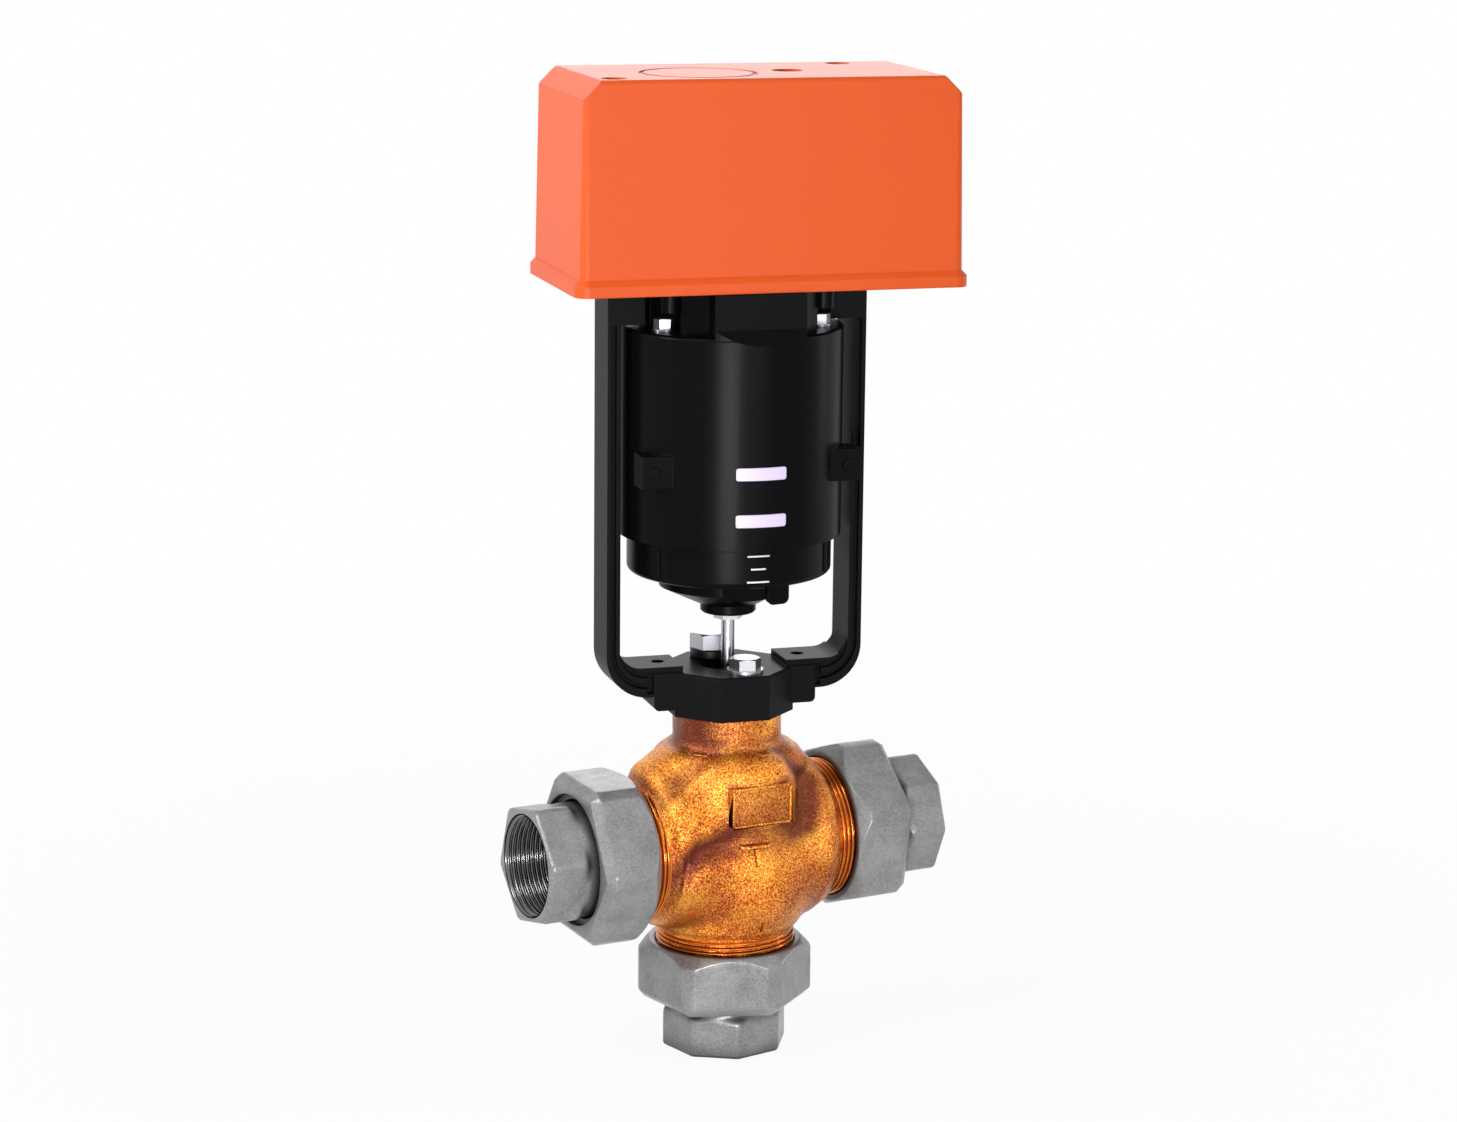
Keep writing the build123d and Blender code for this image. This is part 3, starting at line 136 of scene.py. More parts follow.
def new_material(name):
    """Empty material with its output and a Principled shader."""
    material = bpy.data.materials.new(name)
    material.use_nodes = True
    tree = material.node_tree
    tree.nodes.clear()
    shader = add_node(tree, "ShaderNodeBsdfPrincipled")
    add_node(tree, "ShaderNodeOutputMaterial", links={"Surface": (shader, "BSDF")})
    return material, tree, shader


def ramp_node(tree, fac, *stops):
    """Colours over a value, from (position, hex colour) stops in rising order."""
    node = add_node(tree, "ShaderNodeValToRGB", links={"Fac": fac})
    first, last = node.color_ramp.elements
    first.position, first.color = stops[0][0], linear(stops[0][1])
    last.position, last.color = stops[-1][0], linear(stops[-1][1])
    for position, code in stops[1:-1]:
        node.color_ramp.elements.new(position).color = linear(code)
    return node


def painted_root_shade(tree, colour, dark, reach, open_at):
    """The colour, going over into a dark one where the surface is shut in within that reach: painted shade in
    roots and corners.
    """
    shut = add_node(tree, "ShaderNodeAmbientOcclusion", {"Distance": reach}, samples=8)
    open_side = add_node(tree, "ShaderNodeMapRange", {"From Min": 0.35, "From Max": open_at},
                         {"Value": (shut, "AO")})
    return add_node(tree, "ShaderNodeMix", {"A": linear(dark)},
                    {"Factor": (open_side, "Result"), "B": (colour, "Color")}, data_type="RGBA")


def mesh_object(name, points, faces, material, smooth=True):
    """Mesh from points in millimetres, with outward normals."""
    mesh = bpy.data.meshes.new(name)
    mesh.from_pydata((np.asarray(points, float) * mm).tolist(), [], [tuple(f) for f in faces])
    work = bmesh.new()
    work.from_mesh(mesh)
    bmesh.ops.remove_doubles(work, verts=work.verts, dist=1e-6)
    bmesh.ops.recalc_face_normals(work, faces=work.faces)
    work.to_mesh(mesh)
    work.free()
    mesh.materials.append(material)
    mesh.polygons.foreach_set("use_smooth", [smooth] * len(mesh.polygons))
    made = bpy.data.objects.new(name, mesh)
    bpy.context.scene.collection.objects.link(made)
    return made


def settle(made, smooth=True):
    """Turn an object's modifiers into its plain mesh."""
    mesh = bpy.data.meshes.new_from_object(made.evaluated_get(bpy.context.evaluated_depsgraph_get()))
    made.modifiers.clear()
    made.data = mesh
    mesh.polygons.foreach_set("use_smooth", [smooth] * len(mesh.polygons))
    return made


def vertex_rows(mesh, what="co"):
    """Every vertex's place or normal, one to a row."""
    flat = np.zeros(len(mesh.vertices) * 3)
    mesh.vertices.foreach_get(what, flat)
    return flat.reshape(-1, 3)


def set_places(mesh, points):
    """Move a mesh's vertices to points in millimetres."""
    mesh.vertices.foreach_set("co", (points * mm).ravel())
    mesh.update()


def set_oxide_and_shade(mesh, depth):
    """Store each vertex's darkening, 0 to 1, for the gunmetal: oxide and painted shade."""
    mesh.attributes.new("oxide_and_shade", "FLOAT", "POINT").data.foreach_set("value", depth)


def grid_faces(rows, columns, close_rows=False, close_columns=False):
    """Quads of a grid of points, closed round either way if asked."""
    faces = []
    for i in range(rows if close_rows else rows - 1):
        for j in range(columns if close_columns else columns - 1):
            a, b = i * columns, ((i + 1) % rows) * columns
            k = (j + 1) % columns
            faces.append((a + j, a + k, b + k, b + j))
    return faces


def lathe(outline, steps=64):
    """Closed surface turned about Z from (radius, height) points. The ends lie on the axis."""
    angles = np.arange(steps) * 2 * math.pi / steps
    points = [(r * math.cos(a), r * math.sin(a), z) for r, z in outline for a in angles]
    return np.array(points), grid_faces(len(outline), steps, close_columns=True)


def joined(parts):
    """Several (points, faces) sets as one."""
    points, faces, start = [], [], 0
    for some_points, some_faces in parts:
        points.append(np.asarray(some_points, float))
        faces += [tuple(i + start for i in face) for face in some_faces]
        start += len(some_points)
    return np.vstack(points), faces


def wavy(points, wave, amount, seed):
    """Smooth unevenness in space: a sum of a few slanted waves."""
    dice = np.random.default_rng(seed)
    total = np.zeros(len(points))
    for _ in range(7):
        way = dice.normal(size=3)
        way *= 2 * math.pi / wave * dice.uniform(0.7, 1.4) / np.linalg.norm(way)
        total += np.sin(points @ way + dice.uniform(0, 2 * math.pi))
    return total * amount / 3


def soft_min(a, b, reach):
    """Union of two distances with a fillet of about that reach."""
    share = np.clip(0.5 + 0.5 * (b - a) / reach, 0, 1)
    return b * (1 - share) + a * share - reach * share * (1 - share)


# the straight run's profile: radius against the distance along it
run_x = np.array([-thread_end, -thread_start, -41, -36, -28, -14, 4, 18, 28, 36, 41,
                  thread_start, thread_end])
run_r = np.array([port_core_r, port_shoulder_r, 36.0, left_bulge_r, 37.4, 37.2, 36.6, 36.4, 37.8,
                  right_bulge_r, 37.0, port_shoulder_r, port_core_r])


def valley_cut(p):
    """How far the valleys take the surface in, the same on both sides of the valve."""
    mirrored = p * [1, 0, 1] - np.abs(p) * [0, 1, 0]
    cut = np.zeros(len(p))
    for line, line_depth in valleys:
        near, depth = np.full(len(p), 1e9), np.zeros(len(p))
        for a, b, deep_a, deep_b in zip(line[:-1], line[1:], line_depth[:-1], line_depth[1:]):
            share = np.clip((mirrored - a) @ (b - a) / ((b - a) @ (b - a)), 0, 1)
            gap = np.linalg.norm(mirrored - a - share[:, None] * (b - a), axis=1)
            closer = gap < near
            near = np.where(closer, gap, near)
            depth = np.where(closer, deep_a + share * (deep_b - deep_a), depth)
        cut = np.maximum(cut, depth * np.exp(-(near / valley_width) ** 2))
    return cut


def body_distance(p):
    """Signed distance of the casting's outside, about right near the surface."""
    x, y, z = p.T
    across = np.hypot(y, z - port_height)
    run = np.maximum(across - np.interp(x, run_x, run_r), np.abs(x) - thread_end)
    lobe = -soft_min(left_lobe_r - np.linalg.norm(p - left_lobe, axis=1), x - left_lobe_end, lobe_end_fillet)
    lower = np.linalg.norm(p - lower_lobe, axis=1) - lower_lobe_r
    round_r = np.hypot(x, y)
    middle = (chamber_top + chamber_bottom) / 2
    side = np.maximum(round_r - chamber_r + chamber_shoulder, 0)
    rise = np.maximum(np.abs(z - middle) - (chamber_top - middle) + chamber_shoulder, 0)
    chamber = np.hypot(side, rise) - chamber_shoulder
    drop_r = np.interp(z, [drop_bottom, bottom_thread_top, bottom_thread_top + drop_collar_rise],
                       [port_core_r, port_shoulder_r, drop_collar_r])
    drop = np.maximum(np.maximum(round_r - drop_r, drop_bottom - z), z - drop_top)
    neck = np.maximum(round_r - neck_r, z - neck_top)
    neck = np.minimum(neck, np.maximum(round_r - spigot_r, z - spigot_top))
    # the pad stands on a low swelling of the wall
    seat = np.maximum(np.abs(x - pad_x) - pad_width / 2, np.abs(z - pad_z) - pad_height / 2) + pad_seat_inset
    seat = np.maximum(seat, np.maximum(pad_front + pad_rise - y, y - pad_seat_back))
    body = soft_min(run, lobe, run_fillet)
    body = soft_min(body, lower, lower_fillet)
    body = soft_min(body, chamber, chamber_fillet)
    body = soft_min(body, drop, drop_fillet)
    body = soft_min(body, np.maximum(neck, neck_root - z), neck_fillet)
    return soft_min(body, seat, pad_fillet)


def drawn_to(points, distance, rounds=6):
    """Points moved onto a distance function's zero surface."""
    step = 0.05
    for _ in range(rounds):
        value = distance(points)
        rises = [distance(points + step * axis) - distance(points - step * axis) for axis in np.eye(3)]
        slope = np.column_stack(rises) / (2 * step)
        length2 = np.maximum((slope ** 2).sum(1), 0.2)
        points = points - slope * (value / length2)[:, None]
    return points


def laid_along_x(part, way=1):
    """A turned part with its axis laid along X at the run's height."""
    points, faces = part
    return np.column_stack([way * points[:, 2], points[:, 1], port_height + points[:, 0]]), faces


def ball(centre, radius, count=32):
    """Round lump round a centre."""
    outline = [(radius * math.sin(a), -radius * math.cos(a)) for a in np.linspace(0, math.pi, count)]
    points, faces = lathe(outline, 48)
    return points + np.array(centre, float), faces


def rod(radius, low, high, x=0.0, y=0.0, steps=64):
    """Upright closed cylinder."""
    points, faces = lathe([(0, low), (radius, low), (radius, high), (0, high)], steps)
    return points + np.array([x, y, 0]), faces


def gunmetal_material():
    """Sand-cast gunmetal: grainy gold, bright on the crowns, red-brown in the hollows as oxide and painted
    shade, and painted shade where it looks down.
    """
    material, tree, shader = new_material("gunmetal_sand_cast")
    where = add_node(tree, "ShaderNodeTexCoord")
    # sand grain of about 0.8 mm, larger pits and a slow change of tone over centimetres
    grain = add_node(tree, "ShaderNodeTexNoise", {"Scale": 1250.0, "Detail": 2.0, "Roughness": 0.6},
                     {"Vector": (where, "Object")})
    pits = add_node(tree, "ShaderNodeTexNoise", {"Scale": 620.0, "Detail": 1.0},
                    {"Vector": (where, "Object")})
    patches = add_node(tree, "ShaderNodeTexNoise", {"Scale": 45.0, "Detail": 3.0, "Roughness": 0.55},
                       {"Vector": (where, "Object")})
    mixed = add_node(tree, "ShaderNodeMix", {"Factor": 0.68}, {"A": (patches, "Fac"), "B": (grain, "Fac")},
                     data_type="FLOAT")
    colour = ramp_node(tree, (mixed, "Result"), (0.38, "#7A280C"), (0.49, "#DC7620"), (0.62, "#FFBC48"))
    # oxide and painted shade in the hollows, random oxide in the pits, and painted shade on the side that
    # looks down
    low_side = add_node(tree, "ShaderNodeSeparateXYZ", links={"Vector": (where, "Normal")})
    # painted shade: darker where the surface looks down
    under = add_node(tree, "ShaderNodeMapRange",
                     {"From Min": 0.0, "From Max": -0.9, "To Min": 0.0, "To Max": 0.4},
                     {"Value": (low_side, "Z")})
    # stored value: oxide and painted shade in hollows, painted shade under the yoke and on the right
    oxide_and_shade = add_node(tree, "ShaderNodeAttribute", attribute_name="oxide_and_shade")
    uneven = add_node(tree, "ShaderNodeMath", {1: 0.5, 2: -0.25}, {0: (mixed, "Result")},
                      operation="MULTIPLY_ADD")
    deep = add_node(tree, "ShaderNodeMath", links={0: (oxide_and_shade, "Fac"), 1: (under, "Result")}, operation="ADD")
    deep = add_node(tree, "ShaderNodeMath", links={0: (deep, "Value"), 1: (uneven, "Value")},
                    operation="SUBTRACT")
    # how far towards the dark red-brown: oxide and painted shade
    oxide_and_shade_amount = add_node(tree, "ShaderNodeMapRange",
                     {"From Min": 0.0, "From Max": 1.0, "To Min": 0.0, "To Max": 0.92},
                     {"Value": (deep, "Value")})
    # the dark red-brown of oxide and painted shade
    shaded_colour = add_node(tree, "ShaderNodeMix", {"B": linear("#5E1C16")},
                    {"Factor": (oxide_and_shade_amount, "Result"), "A": (colour, "Color")}, data_type="RGBA")
    height = add_node(tree, "ShaderNodeMath", {1: 0.8}, {0: (pits, "Fac"), 2: (grain, "Fac")},
                      operation="MULTIPLY_ADD")
    bump = add_node(tree, "ShaderNodeBump", {"Strength": 0.7, "Distance": 0.0005},
                    {"Height": (height, "Value")})
    shader.inputs["Metallic"].default_value = 0.68
    shader.inputs["Roughness"].default_value = 0.31
    tree.links.new(shaded_colour.outputs["Result"], shader.inputs["Base Color"])
    tree.links.new(bump.outputs["Normal"], shader.inputs["Normal"])
    return material


def turned_gunmetal_material():
    """Machined gunmetal on the threads: smoother and redder than the cast skin, with painted shade in the
    roots.
    """
    material, tree, shader = new_material("gunmetal_turned")
    where = add_node(tree, "ShaderNodeTexCoord")
    tone = add_node(tree, "ShaderNodeTexNoise", {"Scale": 160.0, "Detail": 3.0},
                    {"Vector": (where, "Object")})
    colour = ramp_node(tree, (tone, "Fac"), (0.0, "#C05A20"), (1.0, "#F0983C"))
    # painted shade in the thread roots
    shaded_colour = painted_root_shade(tree, colour, "#5E1C12", 0.003, 0.8)
    shader.inputs["Metallic"].default_value = 0.9
    shader.inputs["Roughness"].default_value = 0.2
    tree.links.new(shaded_colour.outputs["Result"], shader.inputs["Base Color"])
    return material


gunmetal = gunmetal_material()
turned_gunmetal = turned_gunmetal_material()

# rough solids of the body's forms, sewn into one skin that is then drawn to the true surface
run_outline = [(0, -thread_end)] + [(r, x) for x, r in zip(run_x, run_r)] + [(0, thread_end)]
lobe_inset, chamber_inset, drum_low, drop_rough_r = 6.0, 4.0, 92.0, 32.0
rough = joined([laid_along_x(lathe(run_outline)), ball(lower_lobe, lower_lobe_r),
                ball(left_lobe, left_lobe_r - lobe_inset),
                rod(chamber_r, drum_low, chamber_top - chamber_inset),
                rod(drop_rough_r, drop_bottom, drop_top), rod(neck_r, neck_root, neck_top),
                rod(spigot_r, neck_top - 1, spigot_top)])
casting = mesh_object("valve_body_casting", *rough, gunmetal)
remesh = casting.modifiers.new("skin", "REMESH")
remesh.mode = "VOXEL"
remesh.voxel_size = casting_voxel * mm
skin = settle(casting).data
spots = drawn_to(vertex_rows(skin) / mm, body_distance)
set_places(skin, spots)
outward = vertex_rows(skin, "normal")

# Painted shade, partly oxide, where little room is left off the surface and in the valleys, and
# painted shade under the yoke and on the side away from the lamp
near_reach, near_share = 5.0, 1.5
far_reach, far_share = 11.0, 0.8
open_room = 0.12
valley_oxide_and_shade = 4.2
yoke_shade_low, yoke_shade_rise = 146.0, 8.0
yoke_shade_side, yoke_shade_width = 0.62, 36.0
right_shade_start, right_shade_width, right_shade = 22.0, 18.0, 0.3
view_right = np.array([0.88, -0.47, 0])
cut = valley_cut(spots)
near_shut, far_shut = [1 - body_distance(spots + outward * reach) / reach
                       for reach in (near_reach, far_reach)]
rightward = spots @ view_right
# painted shade at the top of the casting under the yoke, stronger towards the left
painted_shade_under_yoke = np.clip((spots[:, 2] - yoke_shade_low) / yoke_shade_rise, 0, 1)
painted_shade_under_yoke *= np.clip(yoke_shade_side - rightward / yoke_shade_width, 0, 1)
# painted shade on the casting's right side, away from the lamp
painted_shade_right = np.clip((rightward - right_shade_start) / right_shade_width, 0, 1) * right_shade
shut_in = np.clip(near_shut * near_share + far_shut * far_share - open_room, 0, 1)
# the stored darkening: oxide and painted shade in hollows and valleys, painted shade under the yoke and on
# the right
set_oxide_and_shade(skin, np.clip(shut_in + cut / valley_oxide_and_shade + painted_shade_under_yoke + painted_shade_right, 0, 1))
spots += outward * (wavy(spots, casting_wave, casting_noise, 3) - cut)[:, None]
set_places(skin, spots)

# The rooms that a look into the ports shows
room_r = 23.0
port_bore_r = 20.0
bore_reach = 70.0
left_bore_end, right_bore_end = -24.0, 22.0
lower_seat_r, lower_seat_bottom, lower_seat_top = 22.5, 78.0, 86.0
upper_seat_r, upper_seat_bottom, upper_seat_top = 19.5, 112.0, 120.0
upper_seat_relief = 12.0
stem_room_r, stem_room_low = 9.5, 130.0
bolt_hole_r, bolt_hole_low = 4.1, 150.0
bolt_radius = 17.4
outside_low = 30.0
past = 1.0
rooms = [laid_along_x(rod(port_bore_r, -bore_reach, left_bore_end)),
         laid_along_x(rod(port_bore_r, right_bore_end, bore_reach)),
         rod(room_r, outside_low, lower_seat_bottom), rod(room_r, lower_seat_top, upper_seat_bottom),
         rod(lower_seat_r, lower_seat_bottom - past, lower_seat_top + past),
         rod(upper_seat_r, upper_seat_bottom - past, upper_seat_top + upper_seat_relief),
         rod(stem_room_r, stem_room_low, spigot_top + past, steps=32),
         rod(bolt_hole_r, bolt_hole_low, neck_top + past, 0, -bolt_radius, 24),
         rod(bolt_hole_r, bolt_hole_low, neck_top + past, 0, bolt_radius, 24)]
cutters = [mesh_object("room_" + str(index), *room, gunmetal) for index, room in enumerate(rooms)]
for cutter in cutters:
    hollowing = casting.modifiers.new("room", "BOOLEAN")
    hollowing.operation = "DIFFERENCE"
    hollowing.solver = "EXACT"
    hollowing.object = cutter
settle(casting)
for cutter in cutters:
    bpy.data.objects.remove(cutter)
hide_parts("valve_body")
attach(casting, "valve")


def geometry_tree(name, floats, integers=()):
    """Geometry tree with its inputs, and a helper that adds a maths node to it."""
    tree = bpy.data.node_groups.new(name, "GeometryNodeTree")
    tree.interface.new_socket("Geometry", in_out="OUTPUT", socket_type="NodeSocketGeometry")
    for labels, kind in ((floats, "Float"), (integers, "Int"), (("Material",), "Material")):
        for label in labels:
            tree.interface.new_socket(label, in_out="INPUT", socket_type="NodeSocket" + kind)

    def maths(operation, *inputs):
        values = {i: v for i, v in enumerate(inputs) if not isinstance(v, tuple)}
        links = {i: v for i, v in enumerate(inputs) if isinstance(v, tuple)}
        return add_node(tree, "ShaderNodeMath", values, links, operation=operation), "Value"

    return tree, add_node(tree, "NodeGroupInput"), maths


def moved_to(tree, given, shape, x, y, z):
    """Ends a geometry tree: its points moved to x, y, z, sewn, and given the material."""
    point = add_node(tree, "ShaderNodeCombineXYZ", links={"X": x, "Y": y, "Z": z})
    bent = add_node(tree, "GeometryNodeSetPosition", links={"Geometry": shape, "Position": (point, "Vector")})
    sewn = add_node(tree, "GeometryNodeMergeByDistance", {"Distance": 1e-6}, {"Geometry": (bent, "Geometry")})
    coated = add_node(tree, "GeometryNodeSetMaterial",
                      links={"Geometry": (sewn, "Geometry"), "Material": (given, "Material")})
    add_node(tree, "NodeGroupOutput", links={"Geometry": (coated, "Geometry")})
    return tree


def thread_tree():
    """Geometry nodes: a screw thread as a sleeve whose radius follows its helix."""
    tree, given, maths = geometry_tree("screw_thread", ("Root radius", "Crest radius", "Pitch", "Length"))
    sheet = add_node(tree, "GeometryNodeMeshGrid",
                     {"Size X": 1.0, "Size Y": 1.0, "Vertices X": 145, "Vertices Y": 78})
    place = add_node(tree, "GeometryNodeInputPosition")
    split = add_node(tree, "ShaderNodeSeparateXYZ", links={"Vector": (place, "Position")})
    turn = maths("ADD", (split, "X"), 0.5)
    along = maths("MULTIPLY", maths("ADD", (split, "Y"), 0.5), (given, "Length"))
    climb = maths("SUBTRACT", maths("DIVIDE", along, (given, "Pitch")), turn)
    saw = maths("FRACT", climb)
    ridge = maths("SUBTRACT", 1.0, maths("MULTIPLY", maths("ABSOLUTE", maths("SUBTRACT", saw, 0.5)), 2.0))
    flank = add_node(tree, "ShaderNodeMapRange", {"From Min": 0.12, "From Max": 0.84}, {"Value": ridge})
    lead_in = add_node(tree, "ShaderNodeMapRange", {"From Min": 0.0},
                       {"Value": along, "From Max": (given, "Pitch")})
    tall = maths("MULTIPLY", (flank, "Result"), (lead_in, "Result"))
    depth = maths("SUBTRACT", (given, "Crest radius"), (given, "Root radius"))
    radius = maths("ADD", (given, "Root radius"), maths("MULTIPLY", tall, depth))
    angle = maths("MULTIPLY", turn, 2 * math.pi)
    return moved_to(tree, given, (sheet, "Mesh"), maths("MULTIPLY", radius, maths("COSINE", angle)),
                    maths("MULTIPLY", radius, maths("SINE", angle)), along)


def made_by(tree, name, inputs):
    """Plain mesh object from a geometry tree and its named inputs."""
    holder = bpy.data.objects.new(name, bpy.data.meshes.new(name))
    bpy.context.scene.collection.objects.link(holder)
    modifier = holder.modifiers.new("rule", "NODES")
    modifier.node_group = tree
    sockets = {item.name: item.identifier for item in tree.interface.items_tree if item.in_out == "INPUT"}
    for label, value in inputs.items():
        modifier[sockets[label]] = value
    return settle(holder)


def port_matrix(port):
    """From a union's own axis, its end face at 0 and the valve at +Z, to its place on the valve."""
    if port == "bottom":
        return Matrix.Identity(4)
    side = -1 if port == "left" else 1
    end = Matrix.Translation((side * run_half_length * mm, 0, port_height * mm))
    return end @ Matrix.Rotation(math.radians(-side * 90), 4, "Y")


screw_thread = thread_tree()
ports = ("bottom", "left", "right")
for port in ports:
    sleeve = made_by(screw_thread, port + "_port_thread",
                     {"Root radius": port_thread_root * mm, "Crest radius": port_thread_crest * mm,
                      "Pitch": port_thread_pitch * mm, "Length": (thread_end - thread_start) * mm,
                      "Material": turned_gunmetal})
    # the helix starts at its run-out beside the casting and ends under the nut
    run_out = Matrix.Translation((0, 0, (run_half_length - thread_start) * mm))
    sleeve.data.transform(port_matrix(port) @ run_out @ Matrix.Rotation(math.pi, 4, "X"))
    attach(sleeve, "valve")

# Cast marks on the body's front.
# A framed plain pad for a nameplate, a T for the three ways and three short parting ticks, all
# raised in the casting.
pad_back = -33.0
pad_rim = 1.2
pad_field_sink = 0.5
pad_edge = 0.35
mark_rise = 2.0
# width and power of a mark's rounded slope, and how far its edge and root lie under the skin
mark_slope, mark_round, mark_sink, mark_root = 0.7, 0.6, 0.3, 1.5
far_in_front = -100.0
# the T's bar and stem and the ticks: middle x, middle z, width, height
surface_marks = {"flow_mark_bar": (-3.9, 106.3, 16.0, 2.4), "flow_mark_stem": (-3.8, 101.6, 3.0, 9.0),
                 "parting_tick_left": (-22.5, 147.4, 4.6, 1.5), "parting_tick_right": (4.0, 147.6, 4.6, 1.5),
                 "parting_tick_lower": (1.2, 65.8, 1.4, 5.0)}


def slab(x0, x1, y0, y1, z0, z1):
    """Box between opposite corners."""
    points = [(x, y, z) for x in (x0, x1) for y in (y0, y1) for z in (z0, z1)]
    faces = [(0, 1, 3, 2), (4, 6, 7, 5), (0, 4, 5, 1), (2, 3, 7, 6), (0, 2, 6, 4), (1, 5, 7, 3)]
    return np.array(points), faces


def softened(made, width, segments=2, angle=35):
    """Edges rounded by a bevel of that width in millimetres."""
    bevel = made.modifiers.new("round", "BEVEL")
    bevel.width = width * mm
    bevel.segments = segments
    bevel.limit_method = "ANGLE"
    bevel.angle_limit = math.radians(angle)
    return settle(made)


def front_surface(x, z):
    """Where the casting's front is at each (x, z)."""
    bpy.context.view_layer.update()
    hits = [casting.ray_cast((px * mm, far_in_front * mm, pz * mm), (0, 1, 0)) for px, pz in zip(x, z)]
    return np.array([place.y / mm for _, place, _, _ in hits])


def surface_mark(centre_x, centre_z, width, height):
    """Raised rounded bar that follows the casting's front, and each front point's way to its edge."""
    rows, columns = 9, 17
    u, v = np.meshgrid(np.linspace(-1, 1, columns), np.linspace(-1, 1, rows))
    x, z = centre_x + u.ravel() * width / 2, centre_z + v.ravel() * height / 2
    edge = np.minimum(1 - np.abs(u).ravel(), (1 - np.abs(v).ravel()) * height / width) * width / 2
    surface = front_surface(x, z)
    front = surface - np.clip(edge / mark_slope, 0, 1) ** mark_round * (mark_rise + mark_sink) + mark_sink
    points = np.vstack([np.column_stack([x, front, z]), np.column_stack([x, surface + mark_root, z])])
    sheet = grid_faces(rows, columns)
    count = rows * columns
    border = list(range(columns)) + [r * columns + columns - 1 for r in range(1, rows)] \
        + [count - 2 - i for i in range(columns - 1)] + [r * columns for r in range(rows - 2, 0, -1)]
    walls = [(a, b, b + count, a + count) for a, b in zip(border, border[1:] + border[:1])]
    return points, sheet + [tuple(i + count for i in reversed(face)) for face in sheet] + walls, edge


half_w, half_h = pad_width / 2, pad_height / 2
pad_parts = [slab(pad_x - half_w, pad_x + half_w, pad_front + pad_field_sink, pad_back,
                  pad_z - half_h, pad_z + half_h)]
for sign in (-1, 1):
    across = pad_z + sign * (half_h - pad_rim / 2)
    beside = pad_x + sign * (half_w - pad_rim / 2)
    pad_parts.append(slab(pad_x - half_w, pad_x + half_w, pad_front, pad_back,
                          across - pad_rim / 2, across + pad_rim / 2))
    pad_parts.append(slab(beside - pad_rim / 2, beside + pad_rim / 2, pad_front, pad_back,
                          pad_z - half_h, pad_z + half_h))
pad = softened(mesh_object("name_pad", *joined(pad_parts), gunmetal, smooth=False), pad_edge)
# the pad's sunk field is painted darker than its rim: painted shade in the recess, partly oxide
sunk = vertex_rows(pad.data)[:, 1] / mm > pad_front + pad_field_sink * 0.6
set_oxide_and_shade(pad.data, np.where(sunk, 0.5, 0.15))
marks = [pad]
for name, place in surface_marks.items():
    mark_points, mark_faces, from_edge = surface_mark(*place)
    mark = mesh_object(name, mark_points, mark_faces, gunmetal)
    # painted shade, partly oxide, along the foot of the mark
    foot = np.clip(1 - from_edge / mark_slope, 0, 1)
    gaps = np.linalg.norm(vertex_rows(mark.data)[:, None] / mm - mark_points[None, :len(foot)], axis=2)
    set_oxide_and_shade(mark.data, foot[gaps.argmin(1)])
    marks.append(mark)
for mark in marks:
    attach(mark, "valve")

# Seats, plug, stem and packing.
# A stainless plug and stem move between two seats. The stem runs in a bush and soft packing
# under a slotted brass gland.


def plain_metal(name, colour, metallic, roughness, grain_mm=0.0, grain_height=0.0, edge=0.0, specular=0.5):
    """Even finish with fine grain in the surface and slightly rounded edges."""
    material, tree, shader = new_material(name)
    shader.inputs["Base Color"].default_value = linear(colour)
    shader.inputs["Metallic"].default_value = metallic
    shader.inputs["Roughness"].default_value = roughness
    shader.inputs["Specular IOR Level"].default_value = specular
    normal = None
    if edge:
        normal = add_node(tree, "ShaderNodeBevel", {"Radius": edge * mm}, samples=4), "Normal"
    if grain_mm:
        where = add_node(tree, "ShaderNodeTexCoord")
        grain = add_node(tree, "ShaderNodeTexNoise", {"Scale": 1 / (grain_mm * mm), "Detail": 3.0},
                         {"Vector": (where, "Object")})
        links = {"Height": (grain, "Fac")}
        if normal:
            links["Normal"] = normal
        bump = add_node(tree, "ShaderNodeBump", {"Strength": 0.5, "Distance": grain_height * mm}, links)
        normal = bump, "Normal"
    if normal:
        tree.links.new(normal[0].outputs[normal[1]], shader.inputs["Normal"])
    return material


def dress(material, slot, *names):
    """Give CAD pieces their finish."""
    for name in names:
        mesh = cad[name].data
        mesh.materials.clear()
        mesh.materials.append(material)


# polished stainless: even, bright, with soft reflections
stainless = plain_metal("stainless_polished", "#B4B4B8", 1.0, 0.22)
# turned brass, a little dull from handling
brass = plain_metal("brass_turned", "#9A7236", 1.0, 0.32, edge=0.3)
# black fibre packing
packing = plain_metal("packing_fibre", "#202020", 0.0, 0.8)
dress(stainless, "valve_steel", "valve_plug", "valve_stem", "stem_coupling", "drive_spindle", "motor_pinion",
      "crank_shaft")
dress(brass, "brass", "packing_gland", "stem_guide", "lower_seat")
dress(packing, "packing", "stem_packing", "bottom_gasket", "left_gasket", "right_gasket")

# Screwed unions.
# Each port has a tailpiece with a pipe thread, and a hexagon nut that hooks over its flange.
# They are cast in malleable iron and galvanised, so the skin is grey with bright zinc crystals.
tail_flats = 55.4
tail_flat_length = 18.6
tail_neck_r = 27.0
tail_thread_minor = 22.42
tail_thread_major = 23.75
tail_thread_depth = 24.0
tail_bore_r = 20.0
flange_start, flange_end, flange_r = 31.0, 37.0, 31.0
nut_flats, nut_corner_r = 74.0, 41.0
nut_start, nut_end = 23.0, 52.0
nut_turn = {"bottom": -112.6, "left": 2.0, "right": 20.0}
nut_bevel = 3.8
nut_bevel_corner = 2.0
nut_edge = 1.0
nut_recess_r = 30.6
nut_recess_depth = 3.4
nut_hook_gap = 0.8
nut_thread_gap = 0.35
nut_flange_gap = 0.3
